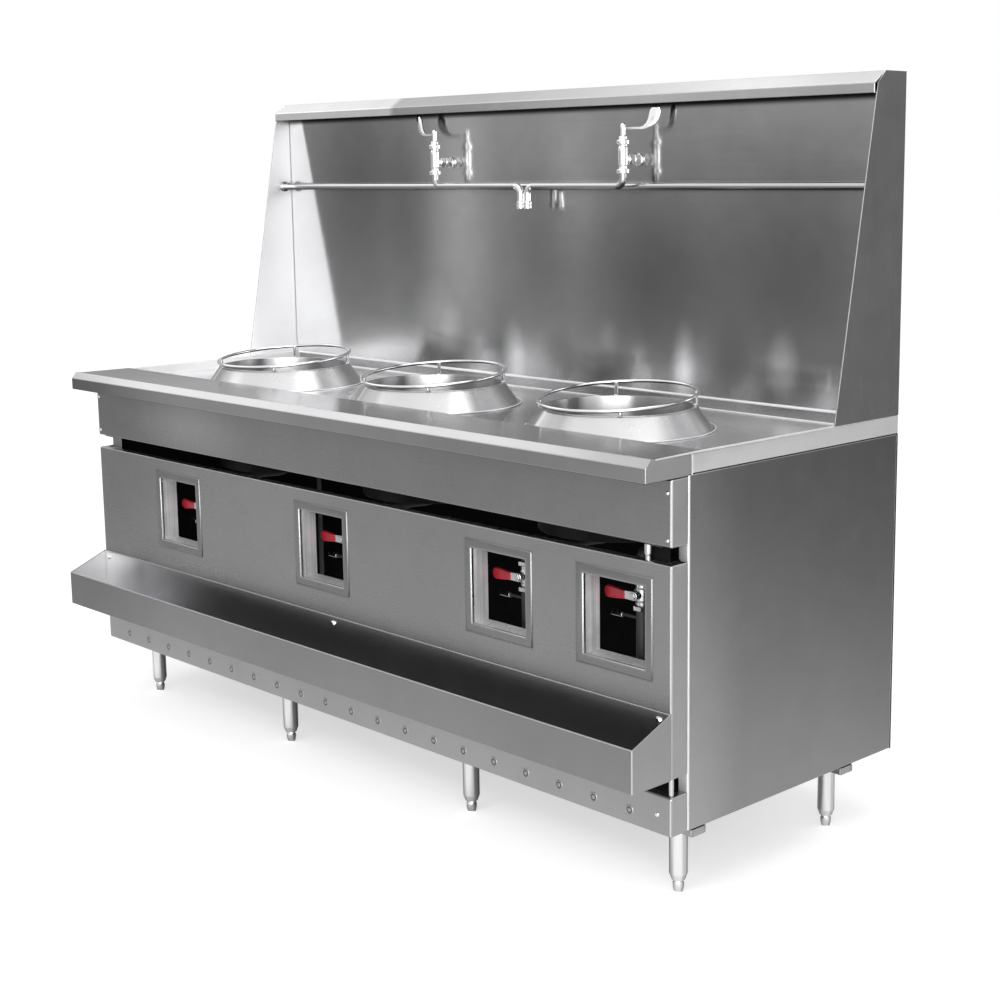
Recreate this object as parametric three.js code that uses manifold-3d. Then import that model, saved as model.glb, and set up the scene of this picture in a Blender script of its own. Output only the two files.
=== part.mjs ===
// A gas wok range with three chambers: a stainless cabinet on eight legs, a sunk deck with conical
// collars and wire wok rings, a tall splash with a pipe rail and two swing-spout taps, a condiment
// tray, and ball valves that are worked through four windows in the lower front panel.
// Millimetres, +Z up, the front faces -Y. The origin is on the floor under the middle of the whole.

import * as THREE from 'three';
import { mergeVertices } from 'three/addons/utils/BufferGeometryUtils.js';
import Module from 'manifold-3d';

const wasm = await Module();
wasm.setup();

// ---------------------------------------------------------------- driving dimensions

// Whole range
const WIDTH = 2148; // across the side panels
const BODY_DEPTH = 744; // faces of the front panels to the back
const DECK_HEIGHT = 914; // floor to the top of the deck's ledge
const CABINET_BASE = 151; // floor to the underside of the cabinet
const SPLASH_RISE = 737; // ledge to the top of the splash
const SPLASH_DEPTH = 60; // face of the splash to the back

// Sheet metal
const DECK_SHEET = 2;
const PANEL_SHEET = 1.5;
const CHANNEL_SHEET = 3;
const SEAM = 0.3; // clearance between pieces that touch
const PIN_CLEARANCE = 0.5; // clearance round a stem, spindle or spout in its bore

// Deck with its front rail and sunk pan
const RAIL_REACH = 74; // rail's front facet ahead of the panels
const RAIL_DROP = 44; // ledge to the rail's underside
const RAIL_FACET = 30; // height of the upright facet
const RAIL_CHAMFER = 13.5; // run of the slope above it
const RAIL_CREST = 2.5; // rise of the crest above the ledge
const RAIL_CREST_RUN = 15; // run from the crest back to the ledge
const RAIL_RETURN = 24; // underside turned in behind the panel faces
const RAIL_END_DEPTH = 57.5; // rail's end plate behind the panel faces
const LEDGE_DEPTH = 101; // panel faces to the pan's front wall
const PAN_DEPTH = 27;
const PAN_LIP = 14; // width of the deck's lip at either side of the pan
const DECK_SKIRT = 40.5; // deck's strip down the sides and the back
const SKIRT_NOTCH = 4.5; // slit between the rail's end plate and the side strip

// Front panels
const PANEL_RETURN = 48.4; // depth of the panels' side returns
const PANEL_HEM = 20; // width of the panels' turned-in edges
const APRON_HEIGHT = 135;
const UPPER_SLOT = 34; // open slot between the apron and the valve panel
const LOWER_SLOT = 37; // open slot between the valve panel and the kick panel
const KICK_HEIGHT = 82;
const HANGER_WIDTH = 46;
const HANGER_INSET = 28; // from the end of the panel to the strap in the slot
const HANGER_SETBACK = 28; // from the panel's face to the strap

// Windows in the valve panel
const WINDOW_WIDTH = 170;
const WINDOW_HEIGHT = 168;
const WINDOW_DROP = 52; // panel's upper edge to the window's
const WINDOW_BORDER = 20; // sunk border round the window
const WINDOW_SINK = 3;
const WINDOW_SHIFT = -49; // chamber axis to the window's middle
const END_WINDOW_INSET = 155; // right end to the middle of the fourth window

// Side and rear panels
const CASE_FLANGE = 25; // turned-in edges of the side panels
const REAR_HEM = 18;

// Condiment tray
const TRAY_REACH = 113;
const TRAY_FRONT_HEIGHT = 90;
const TRAY_BACK_HEIGHT = 136;
const TRAY_HEM = 8;

// Chambers, collars and wok rings
const CHAMBER_COUNT = 3;
const CHAMBER_END_INSET = 447; // outer chamber's axis to the end of the range
const CHAMBER_SETBACK = 322; // panel faces to the chambers' axes
const COLLAR_BASE_RADIUS = 217;
const COLLAR_LIP = 9; // flat lip round the foot of the cone
const COLLAR_RISE = 51; // pan floor to the top of the rim
const COLLAR_RIM_RADIUS = 176;
const COLLAR_RIM_ROUND = 3;
const COLLAR_SHEET = 2;
const THROAT_RADIUS = 166; // inside of the collar's skirt
const SKIRT_DEPTH = 14; // skirt below the pan's floor
const HOLE_CLEARANCE = 1.2; // skirt to the edge of the hole in the deck
const CHAMBER_LINING_GAP = 2.5; // skirt to the inside of the chamber
const CHAMBER_WALL = 11; // shell and lining
const CHAMBER_FLANGE = 16;
const CHAMBER_PLATE = 4;
const PLATE_HOLE_CLEARANCE = 3;
const RING_RADIUS = 177;
const RING_WIRE = 4; // wire's radius
const RING_LIFT = 22; // rim to the ring's middle
const RING_SLOPE = 0.075; // rise per millimetre towards the back
const POST_RADIUS = 4;
const POST_CIRCLE = 172;
const POST_COUNT = 4;

// Burners and gas pipes
const BURNER_RADIUS = 62;
const BURNER_HEIGHT = 22;
const JET_CIRCLE = 40;
const JET_COUNT = 7;
const JET_RADIUS = 6;
const JET_HEIGHT = 26;
const JET_CONE = 6; // height of the jet's tapered tip
const BURNER_CHAMFER = 4;
const BURNER_SHOULDER = 8;
const PIPE_RADIUS = 13.35;
const PIPE_BEND = 26;
const PIPE_CLEARANCE = 8; // gas pipes to the chambers above them
const LINE_RISE = 29; // highest burner valve's port to the pipes' level run
const INLET_RISE = 62; // main valve's port to the inlet pipe's level run
const INLET_HOLE_CLEARANCE = 2;
const MANIFOLD_RADIUS = 16.7;
const MANIFOLD_DROP = 50; // windows' sill to the manifold's axis
const TEE_RADIUS = 19;
const TEE_HEIGHT = 14;

// Ball valves
const VALVE_SETBACK = 95; // panel faces to the valves' bores
const VALVE_SHIFT = -9; // window's middle to the stem
const VALVE_LEVEL_1 = 90; // windows' sill to each stem, from the left
const VALVE_LEVEL_2 = 93;
const VALVE_LEVEL_3 = 102;
const VALVE_LEVEL_4 = 120;
const VALVE_HALF_LENGTH = 34;
const VALVE_RADIUS = 16.5;
const VALVE_END_LENGTH = 11;
const VALVE_END_RADIUS = 19.5;
const GLAND_RADIUS = 9.5;
const GLAND_REACH = 25; // bore's axis to the gland's face
const STEM_RADIUS = 5;
const STEM_ENGAGED = 11; // stem inside the gland
const LEVER_PLATE = 3;
const LEVER_HUB_RADIUS = 9.5;
const LEVER_LENGTH = 80; // stem to the tip
const GRIP_START = 24; // stem to the grip
const GRIP_ROOT_WIDTH = 17;
const GRIP_TIP_WIDTH = 26;
const GRIP_THICKNESS = 9;
const LEVER_NUT_RADIUS = 8.5;
const LEVER_NUT_HEIGHT = 5;

// Splash
const SPLASH_SIDE_SHEET = 2.5;
const SPLASH_SIDE_FOOT = 232; // depth of a side panel where it stands on the deck
const SPLASH_SIDE_HEAD = 102; // depth where the front edge meets the chamfer
const SPLASH_SIDE_TOP = 75; // depth along the top edge
const SPLASH_SIDE_CHAMFER = 25; // height of the chamfer
const SPLASH_RETURN = 20; // turned-back edges of the splash's face
const CAP_DEPTH = 111; // cap's lip to the back
const CAP_FLAT = 72; // depth of the cap's level top
const CAP_SLOPE_DROP = 26;
const CAP_LIP = 22;
const CAP_HEM = 9;
const CAP_BACK_FLANGE = 20;

// Pipe rail along the splash
const RAIL_PIPE_RADIUS = 9.5;
const RAIL_PIPE_LEVEL = 497.6; // ledge to the rail's axis
const RAIL_PIPE_STANDOFF = 25; // splash's face to the rail's axis
const RAIL_ROSETTE_RADIUS = 21;
const RAIL_ROSETTE_THICKNESS = 4;

// Taps
const TAP_OFFSET_LEFT = 336; // middle of the range to each tap
const TAP_OFFSET_RIGHT = 356;
const TAP_STANDOFF = 57.5; // splash's face to the tap's axis
const TAP_INLET_LEVEL = 561; // ledge to the inlet's axis
const TAP_BODY_RADIUS = 12;
const TAP_NECK_RADIUS = 10.5;
const TAP_NUT_RADIUS = 16;
const TAP_NUT_HEIGHT = 10.5;
const TAP_BELOW = 33; // inlet's axis down to the lower nut's face
const TAP_ABOVE = 36; // inlet's axis up to the upper nut
const TAP_GLAND_HEIGHT = 9;
const INLET_RADIUS = 9;
const INLET_NUT_RADIUS = 12.5;
const INLET_NUT_LENGTH = 14;
const INLET_NUT_PLACES = [14, 33]; // tap's axis to the start of each nut
const INLET_ROSETTE_RADIUS = 21;
const INLET_ROSETTE_THICKNESS = 5;
const SPINDLE_RADIUS = 5;
const SPINDLE_ENGAGED = 12;
const HANDLE_HUB_RADIUS = 6.8;
const HANDLE_HUB_HEIGHT = 29;
const HANDLE_ARM_HEIGHT = 17; // hub's foot to the arm's middle
const HANDLE_ARM_DEPTH = 6;
const HANDLE_REACH = 98; // tap's axis to the blade's outer edge
const HANDLE_RISE = 56; // arm's middle to the blade's upper end
const HANDLE_THICKNESS = 4.5;
const HANDLE_TURNS = [168, 18.5]; // degrees from +X, with the taps shut

// Swing spouts
const SPOUT_RADIUS = 9;
const SPOUT_ENGAGED = 11; // spout inside the tap's lower nut
const SPOUT_DROP = 29.5; // lower nut's face to the level run
const SPOUT_REACH = 333.5; // tap's axis to the nozzle
const SPOUT_BEND = 20;
const SPOUT_NOZZLE_DROP = 57.5; // level run to the nozzle's tip
const SPOUT_TIP_RADIUS = 11.5;
const SPOUT_TIP_HEIGHT = 20;

// Legs
const LEG_INSET_LEFT = 122;
const LEG_INSET_RIGHT = 54;
const LEG_PITCH = 634; // outer leg to its inner neighbour
const LEG_SETBACK_FRONT = 82;
const LEG_SETBACK_REAR = 577;
const LEG_RADIUS = 19.05;
const LEG_TAPER_TOP = 40; // floor to the start of the taper
const LEG_BOTTOM = 26; // floor to the leg's lower end
const LEG_BOTTOM_RADIUS = 14;
const LEG_PLATE_RADIUS = 30;
const LEG_PLATE = 4;
const CHANNEL_WIDTH = 44;
const CHANNEL_HEIGHT = 15.7;
const FOOT_RADIUS = 11.8;
const FOOT_NECK_RADIUS = 10;
const FOOT_TOE_RADIUS = 8.5;
const FOOT_STUD_RADIUS = 6;
const FOOT_STUD_LENGTH = 58; // stud inside the leg
const LEG_BORE_SPARE = 4; // bore above the stud's end

// ---------------------------------------------------------------- places worked out from them

const SIDE_X = WIDTH / 2;
const FACE_Y = (TRAY_REACH - BODY_DEPTH) / 2;
const BACK_Y = FACE_Y + BODY_DEPTH;
const SPLASH_Y = BACK_Y - SPLASH_DEPTH;
const TOP_Z = DECK_HEIGHT + SPLASH_RISE;

const PAN_FLOOR = DECK_HEIGHT - PAN_DEPTH;
const PAN_FRONT_Y = FACE_Y + LEDGE_DEPTH;
const DECK_SKIRT_Z = DECK_HEIGHT - DECK_SKIRT;
const RAIL_UNDERSIDE = DECK_HEIGHT - RAIL_DROP;

const APRON_TOP = RAIL_UNDERSIDE - SEAM;
const APRON_BASE = RAIL_UNDERSIDE - APRON_HEIGHT;
const VALVE_PANEL_TOP = APRON_BASE - UPPER_SLOT;
const KICK_TOP = CABINET_BASE + KICK_HEIGHT;
const VALVE_PANEL_BASE = KICK_TOP + LOWER_SLOT;
const CASE_TOP = DECK_SKIRT_Z - SEAM;
const CASE_FRONT_Y = FACE_Y + PANEL_RETURN + SEAM;
const REAR_PANEL_Y = BACK_Y - PANEL_SHEET;

const WINDOW_TOP = VALVE_PANEL_TOP - WINDOW_DROP;
const WINDOW_SILL = WINDOW_TOP - WINDOW_HEIGHT;

const CHAMBER_Y = FACE_Y + CHAMBER_SETBACK;
const CHAMBER_PITCH = (WIDTH - 2 * CHAMBER_END_INSET) / (CHAMBER_COUNT - 1);
const CHAMBER_XS = Array.from(
  { length: CHAMBER_COUNT },
  (_, i) => (i - (CHAMBER_COUNT - 1) / 2) * CHAMBER_PITCH,
);
const WINDOW_XS = [...CHAMBER_XS.map((x) => x + WINDOW_SHIFT), SIDE_X - END_WINDOW_INSET];
const VALVE_XS = WINDOW_XS.map((x) => x + VALVE_SHIFT);
const VALVE_LEVELS = [VALVE_LEVEL_1, VALVE_LEVEL_2, VALVE_LEVEL_3, VALVE_LEVEL_4];
const VALVE_ZS = VALVE_LEVELS.map((level) => WINDOW_SILL + level);
const VALVE_Y = FACE_Y + VALVE_SETBACK;
const MAIN_VALVE = VALVE_XS.length - 1;

const SKIRT_RADIUS = THROAT_RADIUS + COLLAR_SHEET;
const DECK_HOLE_RADIUS = SKIRT_RADIUS + HOLE_CLEARANCE;
const CHAMBER_INSIDE = SKIRT_RADIUS + CHAMBER_LINING_GAP;
const CHAMBER_OUTSIDE = CHAMBER_INSIDE + CHAMBER_WALL;
const CHAMBER_TOP = PAN_FLOOR - DECK_SHEET - SEAM;
const LINE_Z = Math.max(...VALVE_ZS.slice(0, MAIN_VALVE)) + VALVE_HALF_LENGTH + LINE_RISE;
const CHAMBER_BASE = LINE_Z + PIPE_RADIUS + PIPE_CLEARANCE;
const INLET_Z = VALVE_ZS[MAIN_VALVE] + VALVE_HALF_LENGTH + INLET_RISE;
const MANIFOLD_Z = WINDOW_SILL - MANIFOLD_DROP;

const SPLASH_INSIDE_X = SIDE_X - SPLASH_SIDE_SHEET - SEAM;
const TAP_XS = [-TAP_OFFSET_LEFT, TAP_OFFSET_RIGHT];
const TAP_Y = SPLASH_Y - TAP_STANDOFF;
const TAP_INLET_Z = DECK_HEIGHT + TAP_INLET_LEVEL;
const TAP_FOOT_Z = TAP_INLET_Z - TAP_BELOW;
const TAP_HEAD_Z = TAP_INLET_Z + TAP_ABOVE + TAP_NUT_HEIGHT + TAP_GLAND_HEIGHT;

const CHANNEL_TOP = CABINET_BASE - SEAM;
const CHANNEL_BASE = CHANNEL_TOP - CHANNEL_HEIGHT;
const LEG_TOP = CHANNEL_BASE - SEAM;
const LEG_XS = [
  -SIDE_X + LEG_INSET_LEFT,
  -SIDE_X + LEG_INSET_LEFT + LEG_PITCH,
  SIDE_X - LEG_INSET_RIGHT - LEG_PITCH,
  SIDE_X - LEG_INSET_RIGHT,
];
const LEG_ROWS = { front: FACE_Y + LEG_SETBACK_FRONT, rear: FACE_Y + LEG_SETBACK_REAR };

// ---------------------------------------------------------------- finishes

function finish(color, roughness, metalness) {
  return new THREE.MeshStandardMaterial({ color, roughness, metalness, flatShading: true });
}

const BRUSHED = finish(0x9c9da0, 0.38, 1);
const SATIN = finish(0xb2b3b6, 0.3, 1);
const POLISHED = finish(0xd6d7da, 0.14, 1);
const CHROME = finish(0xdfe1e5, 0.08, 1);
const DRUM_STEEL = finish(0x6f6c69, 0.6, 0.9);
const CAST_IRON = finish(0x2f2f31, 0.75, 0.6);
const PIPE_BLACK = finish(0x35363a, 0.6, 0.7);
const ZINC = finish(0xb5b8ba, 0.35, 1);
const RED_VINYL = finish(0xb32330, 0.45, 0);

// ---------------------------------------------------------------- solids

const ROUND = 36; // facets round a collar or a wok ring
const DRUM_ROUND = 28; // facets round a chamber
const WIRE_ROUND = 6; // facets round a wire
const SMALL_ROUND = 12; // facets round a pipe, a fitting or a leg
const HEX = 6;

/** Closed geometry, in any winding, to a solid that can be joined and cut. */
function solid(geometry) {
  const bare = geometry.clone();
  bare.deleteAttribute('normal');
  bare.deleteAttribute('uv');
  const merged = mergeVertices(bare, 1e-4);
  const positions = merged.attributes.position.array;
  const corners = merged.index.array;
  const kept = [];
  let volume = 0;
  const [a, b, c] = [new THREE.Vector3(), new THREE.Vector3(), new THREE.Vector3()];
  for (let i = 0; i < corners.length; i += 3) {
    const [p, q, r] = [corners[i], corners[i + 1], corners[i + 2]];
    if (p === q || q === r || r === p) continue;
    kept.push(p, q, r);
    a.fromArray(positions, 3 * p);
    b.fromArray(positions, 3 * q);
    c.fromArray(positions, 3 * r);
    volume += a.dot(b.cross(c));
  }
  const triVerts = Uint32Array.from(volume < 0 ? kept.reverse() : kept);
  return new wasm.Manifold(new wasm.Mesh({ numProp: 3, vertProperties: positions, triVerts }));
}

function join(first, ...others) {
  return others.reduce((sum, other) => sum.add(other), first);
}

function cut(first, ...others) {
  return others.reduce((rest, other) => rest.subtract(other), first);
}

/** Block between two corners. */
function block([x0, x1], [y0, y1], [z0, z1]) {
  const geometry = new THREE.BoxGeometry(x1 - x0, y1 - y0, z1 - z0);
  geometry.translate((x0 + x1) / 2, (y0 + y1) / 2, (z0 + z1) / 2);
  return solid(geometry);
}

function outline(points) {
  return new THREE.Shape(points.map(([u, v]) => new THREE.Vector2(u, v)));
}

/** Outline in (y, z) drawn out along X. */
function alongX(shape, [x0, x1]) {
  const geometry = new THREE.ExtrudeGeometry(shape, { depth: x1 - x0, bevelEnabled: false });
  const turn = new THREE.Matrix4().makeBasis(
    new THREE.Vector3(0, 1, 0),
    new THREE.Vector3(0, 0, 1),
    new THREE.Vector3(1, 0, 0),
  );
  geometry.applyMatrix4(turn.setPosition(x0, 0, 0));
  return solid(geometry);
}

/** Outline in (x, z) drawn out along Y. */
function alongY(shape, [y0, y1], curveSegments = 8) {
  const options = { depth: y1 - y0, bevelEnabled: false, curveSegments };
  const geometry = new THREE.ExtrudeGeometry(shape, options);
  geometry.rotateX(Math.PI / 2);
  geometry.translate(0, y1, 0);
  return solid(geometry);
}

/** Closed (radius, height) profile turned round a vertical axis. */
function turned(profile, [x, y, z], segments) {
  const points = [...profile, profile[0]].map(([r, h]) => new THREE.Vector2(r, h));
  const geometry = new THREE.LatheGeometry(points, segments);
  geometry.rotateX(Math.PI / 2);
  geometry.translate(x, y, z);
  return solid(geometry);
}

/** Solid profile: the same, closed along the axis itself. */
function turnedSolid(profile, place, segments) {
  const first = profile[0];
  const last = profile[profile.length - 1];
  return turned([[0, first[1]], ...profile, [0, last[1]]], place, segments);
}

function rod(radius, [x, y], [z0, z1], segments = SMALL_ROUND) {
  return turnedSolid([[radius, z0], [radius, z1]], [x, y, 0], segments);
}

/** Cylinder or hexagon along Y. */
function rodY(radius, [x, z], [y0, y1], segments = SMALL_ROUND) {
  const geometry = new THREE.CylinderGeometry(radius, radius, y1 - y0, segments);
  geometry.translate(x, (y0 + y1) / 2, z);
  return solid(geometry);
}

/** Cylinder along X. */
function rodX(radius, [y, z], [x0, x1], segments = SMALL_ROUND) {
  const geometry = new THREE.CylinderGeometry(radius, radius, x1 - x0, segments);
  geometry.rotateZ(Math.PI / 2);
  geometry.translate((x0 + x1) / 2, y, z);
  return solid(geometry);
}

/** Route of straight runs, with each corner rounded to the bend's radius. */
class BentRoute extends THREE.Curve {
  constructor(corners, bend, steps) {
    super();
    const last = corners.length - 1;
    this.stations = [corners[0]];
    this.headings = [corners[1].clone().sub(corners[0]).normalize()];
    for (let i = 1; i < last; i += 1) {
      const into = corners[i].clone().sub(corners[i - 1]).normalize();
      const out = corners[i + 1].clone().sub(corners[i]).normalize();
      const turn = into.angleTo(out);
      const side = out.clone().sub(into.clone().multiplyScalar(into.dot(out))).normalize();
      const start = corners[i].clone().addScaledVector(into, -bend * Math.tan(turn / 2));
      for (let k = 0; k <= steps; k += 1) {
        const angle = (turn * k) / steps;
        const station = start.clone().addScaledVector(into, bend * Math.sin(angle));
        this.stations.push(station.addScaledVector(side, bend * (1 - Math.cos(angle))));
        const heading = into.clone().multiplyScalar(Math.cos(angle));
        this.headings.push(heading.addScaledVector(side, Math.sin(angle)));
      }
    }
    this.stations.push(corners[last]);
    this.headings.push(corners[last].clone().sub(corners[last - 1]).normalize());
  }

  get steps() {
    return this.stations.length - 1;
  }

  getPointAt(t) {
    return this.stations[Math.round(t * this.steps)].clone();
  }

  getTangentAt(t) {
    return this.headings[Math.round(t * this.steps)].clone();
  }
}

/** Round bar along a bent route. */
function bentPipe(corners, radius, bend, sides = 8, bendSteps = 3) {
  const route = new BentRoute(corners.map((c) => new THREE.Vector3(...c)), bend, bendSteps);
  const section = new THREE.Shape();
  section.absarc(0, 0, radius, 0, 2 * Math.PI);
  const circle = new THREE.Shape(section.getPoints(sides).slice(0, sides));
  const options = { steps: route.steps, extrudePath: route, bevelEnabled: false };
  return solid(new THREE.ExtrudeGeometry(circle, options));
}

/** Inner side of a folded sheet: its outer line moved to the right, with mitred corners. */
function foldedInside(line, thickness) {
  const points = line.map(([u, v]) => new THREE.Vector2(u, v));
  const headings = points.slice(1).map((p, i) => p.clone().sub(points[i]).normalize());
  const normals = headings.map((h) => new THREE.Vector2(h.y, -h.x));
  return points.map((p, i) => {
    const before = normals[Math.max(i - 1, 0)];
    const after = normals[Math.min(i, normals.length - 1)];
    const mitre = before.clone().add(after);
    return p.clone().addScaledVector(mitre, thickness / (1 + before.dot(after))).toArray();
  });
}

function foldedSheet(line, thickness) {
  return outline([...line, ...foldedInside(line, thickness).reverse()]);
}

// ---------------------------------------------------------------- the group

const range = new THREE.Group();

function place(name, piece, material) {
  const { vertProperties, triVerts } = piece.getMesh();
  const geometry = new THREE.BufferGeometry();
  geometry.setAttribute('position', new THREE.BufferAttribute(vertProperties, 3));
  geometry.setIndex(new THREE.BufferAttribute(triVerts, 1));
  geometry.computeVertexNormals();
  const mesh = new THREE.Mesh(geometry, material);
  mesh.name = name;
  range.add(mesh);
}

const SIDES = { left: -1, right: 1 };

/** Interval on the given side of the middle, measured inward from an outer face. */
function inward(side, outer, depth) {
  return side < 0 ? [-outer, -outer + depth] : [outer - depth, outer];
}

// ---------------------------------------------------------------- deck

/** Folded top: the solid envelope, less the pan, the space under the sheet, and the openings. */
function deckTop() {
  const t = DECK_SHEET;
  const frontY = FACE_Y - RAIL_REACH;
  const crestY = frontY + RAIL_CHAMFER;
  const facetTop = RAIL_UNDERSIDE + RAIL_FACET;
  const below = RAIL_UNDERSIDE - 1;
  const rail = [
    [FACE_Y + RAIL_RETURN, RAIL_UNDERSIDE],
    [frontY, RAIL_UNDERSIDE],
    [frontY, facetTop],
    [crestY, DECK_HEIGHT + RAIL_CREST],
    [crestY + RAIL_CREST_RUN, DECK_HEIGHT],
    [PAN_FRONT_Y, DECK_HEIGHT],
    [PAN_FRONT_Y, PAN_FLOOR],
  ];
  const sheetUnderside = foldedInside(rail, t).slice(0, -1);
  const envelope = outline([
    ...rail.slice(0, 5),
    [BACK_Y, DECK_HEIGHT],
    [BACK_Y, DECK_SKIRT_Z],
    [FACE_Y + PANEL_RETURN, DECK_SKIRT_Z],
    [FACE_Y + PANEL_RETURN, RAIL_UNDERSIDE],
  ]);
  const underLedge = outline([
    [FACE_Y + RAIL_RETURN, below],
    ...sheetUnderside,
    [PAN_FRONT_Y - t, below],
  ]);
  const panX = SIDE_X - PAN_LIP;
  const insideX = SIDE_X - t;
  const underPan = [PAN_FRONT_Y - 2 * t, BACK_Y - t];
  const underLip = [PAN_FLOOR - 2 * t, DECK_HEIGHT - t];
  const deck = cut(
    alongX(envelope, [-SIDE_X, SIDE_X]),
    block([-panX, panX], [PAN_FRONT_Y, SPLASH_Y], [PAN_FLOOR, DECK_HEIGHT + 1]),
    alongX(underLedge, [-insideX, insideX]),
    block([-insideX, insideX], underPan, [below, PAN_FLOOR - t]),
    block([-insideX, insideX], [SPLASH_Y + t, BACK_Y - t], underLip),
  );
  const slit = [FACE_Y + RAIL_END_DEPTH, FACE_Y + RAIL_END_DEPTH + SKIRT_NOTCH];
  const sideCuts = Object.values(SIDES).flatMap((side) => [
    block(inward(side, insideX, PAN_LIP - 2 * t), underPan, underLip),
    block(inward(side, SIDE_X + 1, 1 + 2 * t), slit, [below, DECK_HEIGHT - t]),
  ]);
  const holes = CHAMBER_XS.map((x) => (
    rod(DECK_HOLE_RADIUS, [x, CHAMBER_Y], [PAN_FLOOR - 2 * t, PAN_FLOOR + t], ROUND)
  ));
  return cut(deck, ...sideCuts, ...holes);
}

place('deck_top', deckTop(), BRUSHED);

// ---------------------------------------------------------------- front panels

/** Panel folded from one sheet: face, side returns with hems, turned-in upper and lower edges. */
function frontPanel(baseZ, topZ) {
  const insideX = SIDE_X - PANEL_SHEET;
  const backY = FACE_Y + PANEL_RETURN;
  const inside = [baseZ + PANEL_SHEET, topZ - PANEL_SHEET];
  const openX = SIDE_X - PANEL_HEM;
  return cut(
    block([-SIDE_X, SIDE_X], [FACE_Y, backY], [baseZ, topZ]),
    block([-insideX, insideX], [FACE_Y + PANEL_SHEET, backY - PANEL_SHEET], inside),
    block([-openX, openX], [FACE_Y + PANEL_HEM, backY + 1], [baseZ - 1, topZ + 1]),
  );
}

place('apron_panel', frontPanel(APRON_BASE, APRON_TOP), BRUSHED);

/** Box over a window, grown by a margin all round, between two depths. */
function windowSlab(x, margin, depth) {
  const half = WINDOW_WIDTH / 2 + margin;
  return block([x - half, x + half], depth, [WINDOW_SILL - margin, WINDOW_TOP + margin]);
}

/** Strap that holds the valve panel's upper edge to the apron's lower one. */
function hangerStrap(side) {
  const rootY = FACE_Y + 2 * PANEL_SHEET;
  const backY = FACE_Y + HANGER_SETBACK;
  const line = [
    [rootY, APRON_BASE - SEAM],
    [backY, APRON_BASE - SEAM],
    [backY, VALVE_PANEL_TOP - 1.5 * PANEL_SHEET],
    [rootY, VALVE_PANEL_TOP - 1.5 * PANEL_SHEET],
  ];
  const span = inward(side, SIDE_X - HANGER_INSET, HANGER_WIDTH);
  return alongX(foldedSheet(line, PANEL_SHEET), span);
}

/** Lower front panel: four windows, each with a sunk border and jambs as deep as the returns. */
function valvePanel() {
  const t = PANEL_SHEET;
  const backY = FACE_Y + PANEL_RETURN;
  const sunkFace = FACE_Y + WINDOW_SINK;
  const shell = join(
    frontPanel(VALVE_PANEL_BASE, VALVE_PANEL_TOP),
    ...WINDOW_XS.map((x) => windowSlab(x, WINDOW_BORDER, [FACE_Y + t / 2, sunkFace + t])),
    ...WINDOW_XS.map((x) => windowSlab(x, t, [sunkFace + t / 2, backY])),
    ...Object.values(SIDES).map(hangerStrap),
  );
  return cut(
    shell,
    ...WINDOW_XS.map((x) => windowSlab(x, WINDOW_BORDER - t, [FACE_Y - 1, sunkFace])),
    ...WINDOW_XS.map((x) => windowSlab(x, 0, [FACE_Y - 1, backY + 1])),
  );
}

place('valve_panel', valvePanel(), BRUSHED);
place('kick_panel', frontPanel(CABINET_BASE, KICK_TOP), SATIN);

// ---------------------------------------------------------------- condiment tray

/** Trough with a low hemmed front, a taller back against the panel, and sloping ends. */
function condimentTray() {
  const t = PANEL_SHEET;
  const backY = FACE_Y - SEAM;
  const frontY = FACE_Y - TRAY_REACH;
  const floorZ = VALVE_PANEL_BASE;
  const backTop = floorZ + TRAY_BACK_HEIGHT;
  const frontTop = floorZ + TRAY_FRONT_HEIGHT;
  const hemY = frontY + TRAY_HEM;
  const envelope = outline([[backY, floorZ], [frontY, floorZ], [frontY, frontTop], [backY, backTop]]);
  const inside = outline([
    [backY - t, floorZ + t],
    [frontY + t, floorZ + t],
    [frontY + t, frontTop - t],
    [hemY, frontTop - t],
    [hemY, backTop + 1],
    [backY - t, backTop + 1],
  ]);
  const insideX = SIDE_X - t;
  const overHem = block([-insideX, insideX], [frontY - 1, hemY + 1], [frontTop, backTop]);
  return cut(alongX(envelope, [-SIDE_X, SIDE_X]), alongX(inside, [-insideX, insideX]), overHem);
}

place('condiment_tray', condimentTray(), BRUSHED);

// ---------------------------------------------------------------- side and rear panels

function sidePanel(side) {
  const span = [CASE_FRONT_Y, REAR_PANEL_Y - SEAM];
  const height = [CABINET_BASE, CASE_TOP];
  return cut(
    block(inward(side, SIDE_X, CASE_FLANGE), span, height),
    block(
      inward(side, SIDE_X - PANEL_SHEET, CASE_FLANGE),
      [span[0] + PANEL_SHEET, span[1] - PANEL_SHEET],
      [height[0] + PANEL_SHEET, height[1] - PANEL_SHEET],
    ),
  );
}

for (const [name, side] of Object.entries(SIDES)) {
  place(`side_panel_${name}`, sidePanel(side), BRUSHED);
}

/** Flat sheet across the back, with its upper and lower edges turned in between the sides. */
function backSheet(halfWidth, [baseZ, topZ], edgeInset) {
  const frontY = BACK_Y - REAR_HEM;
  const hems = [frontY - 1, REAR_PANEL_Y];
  const sheet = cut(
    block([-halfWidth, halfWidth], [frontY, BACK_Y], [baseZ, topZ]),
    block([-halfWidth - 1, halfWidth + 1], hems, [baseZ + PANEL_SHEET, topZ - PANEL_SHEET]),
  );
  const ends = Object.values(SIDES).map((side) => (
    block(inward(side, halfWidth + 1, edgeInset + 1), hems, [baseZ - 1, topZ + 1])
  ));
  return edgeInset > 0 ? cut(sheet, ...ends) : sheet;
}

function rearPanel() {
  const sheet = backSheet(SIDE_X, [CABINET_BASE, CASE_TOP], CASE_FLANGE + PANEL_SHEET);
  const hole = PIPE_RADIUS + INLET_HOLE_CLEARANCE;
  return cut(sheet, rodY(hole, [VALVE_XS[MAIN_VALVE], INLET_Z], [REAR_PANEL_Y - 1, BACK_Y + 1], 24));
}

place('rear_panel', rearPanel(), SATIN);

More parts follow.
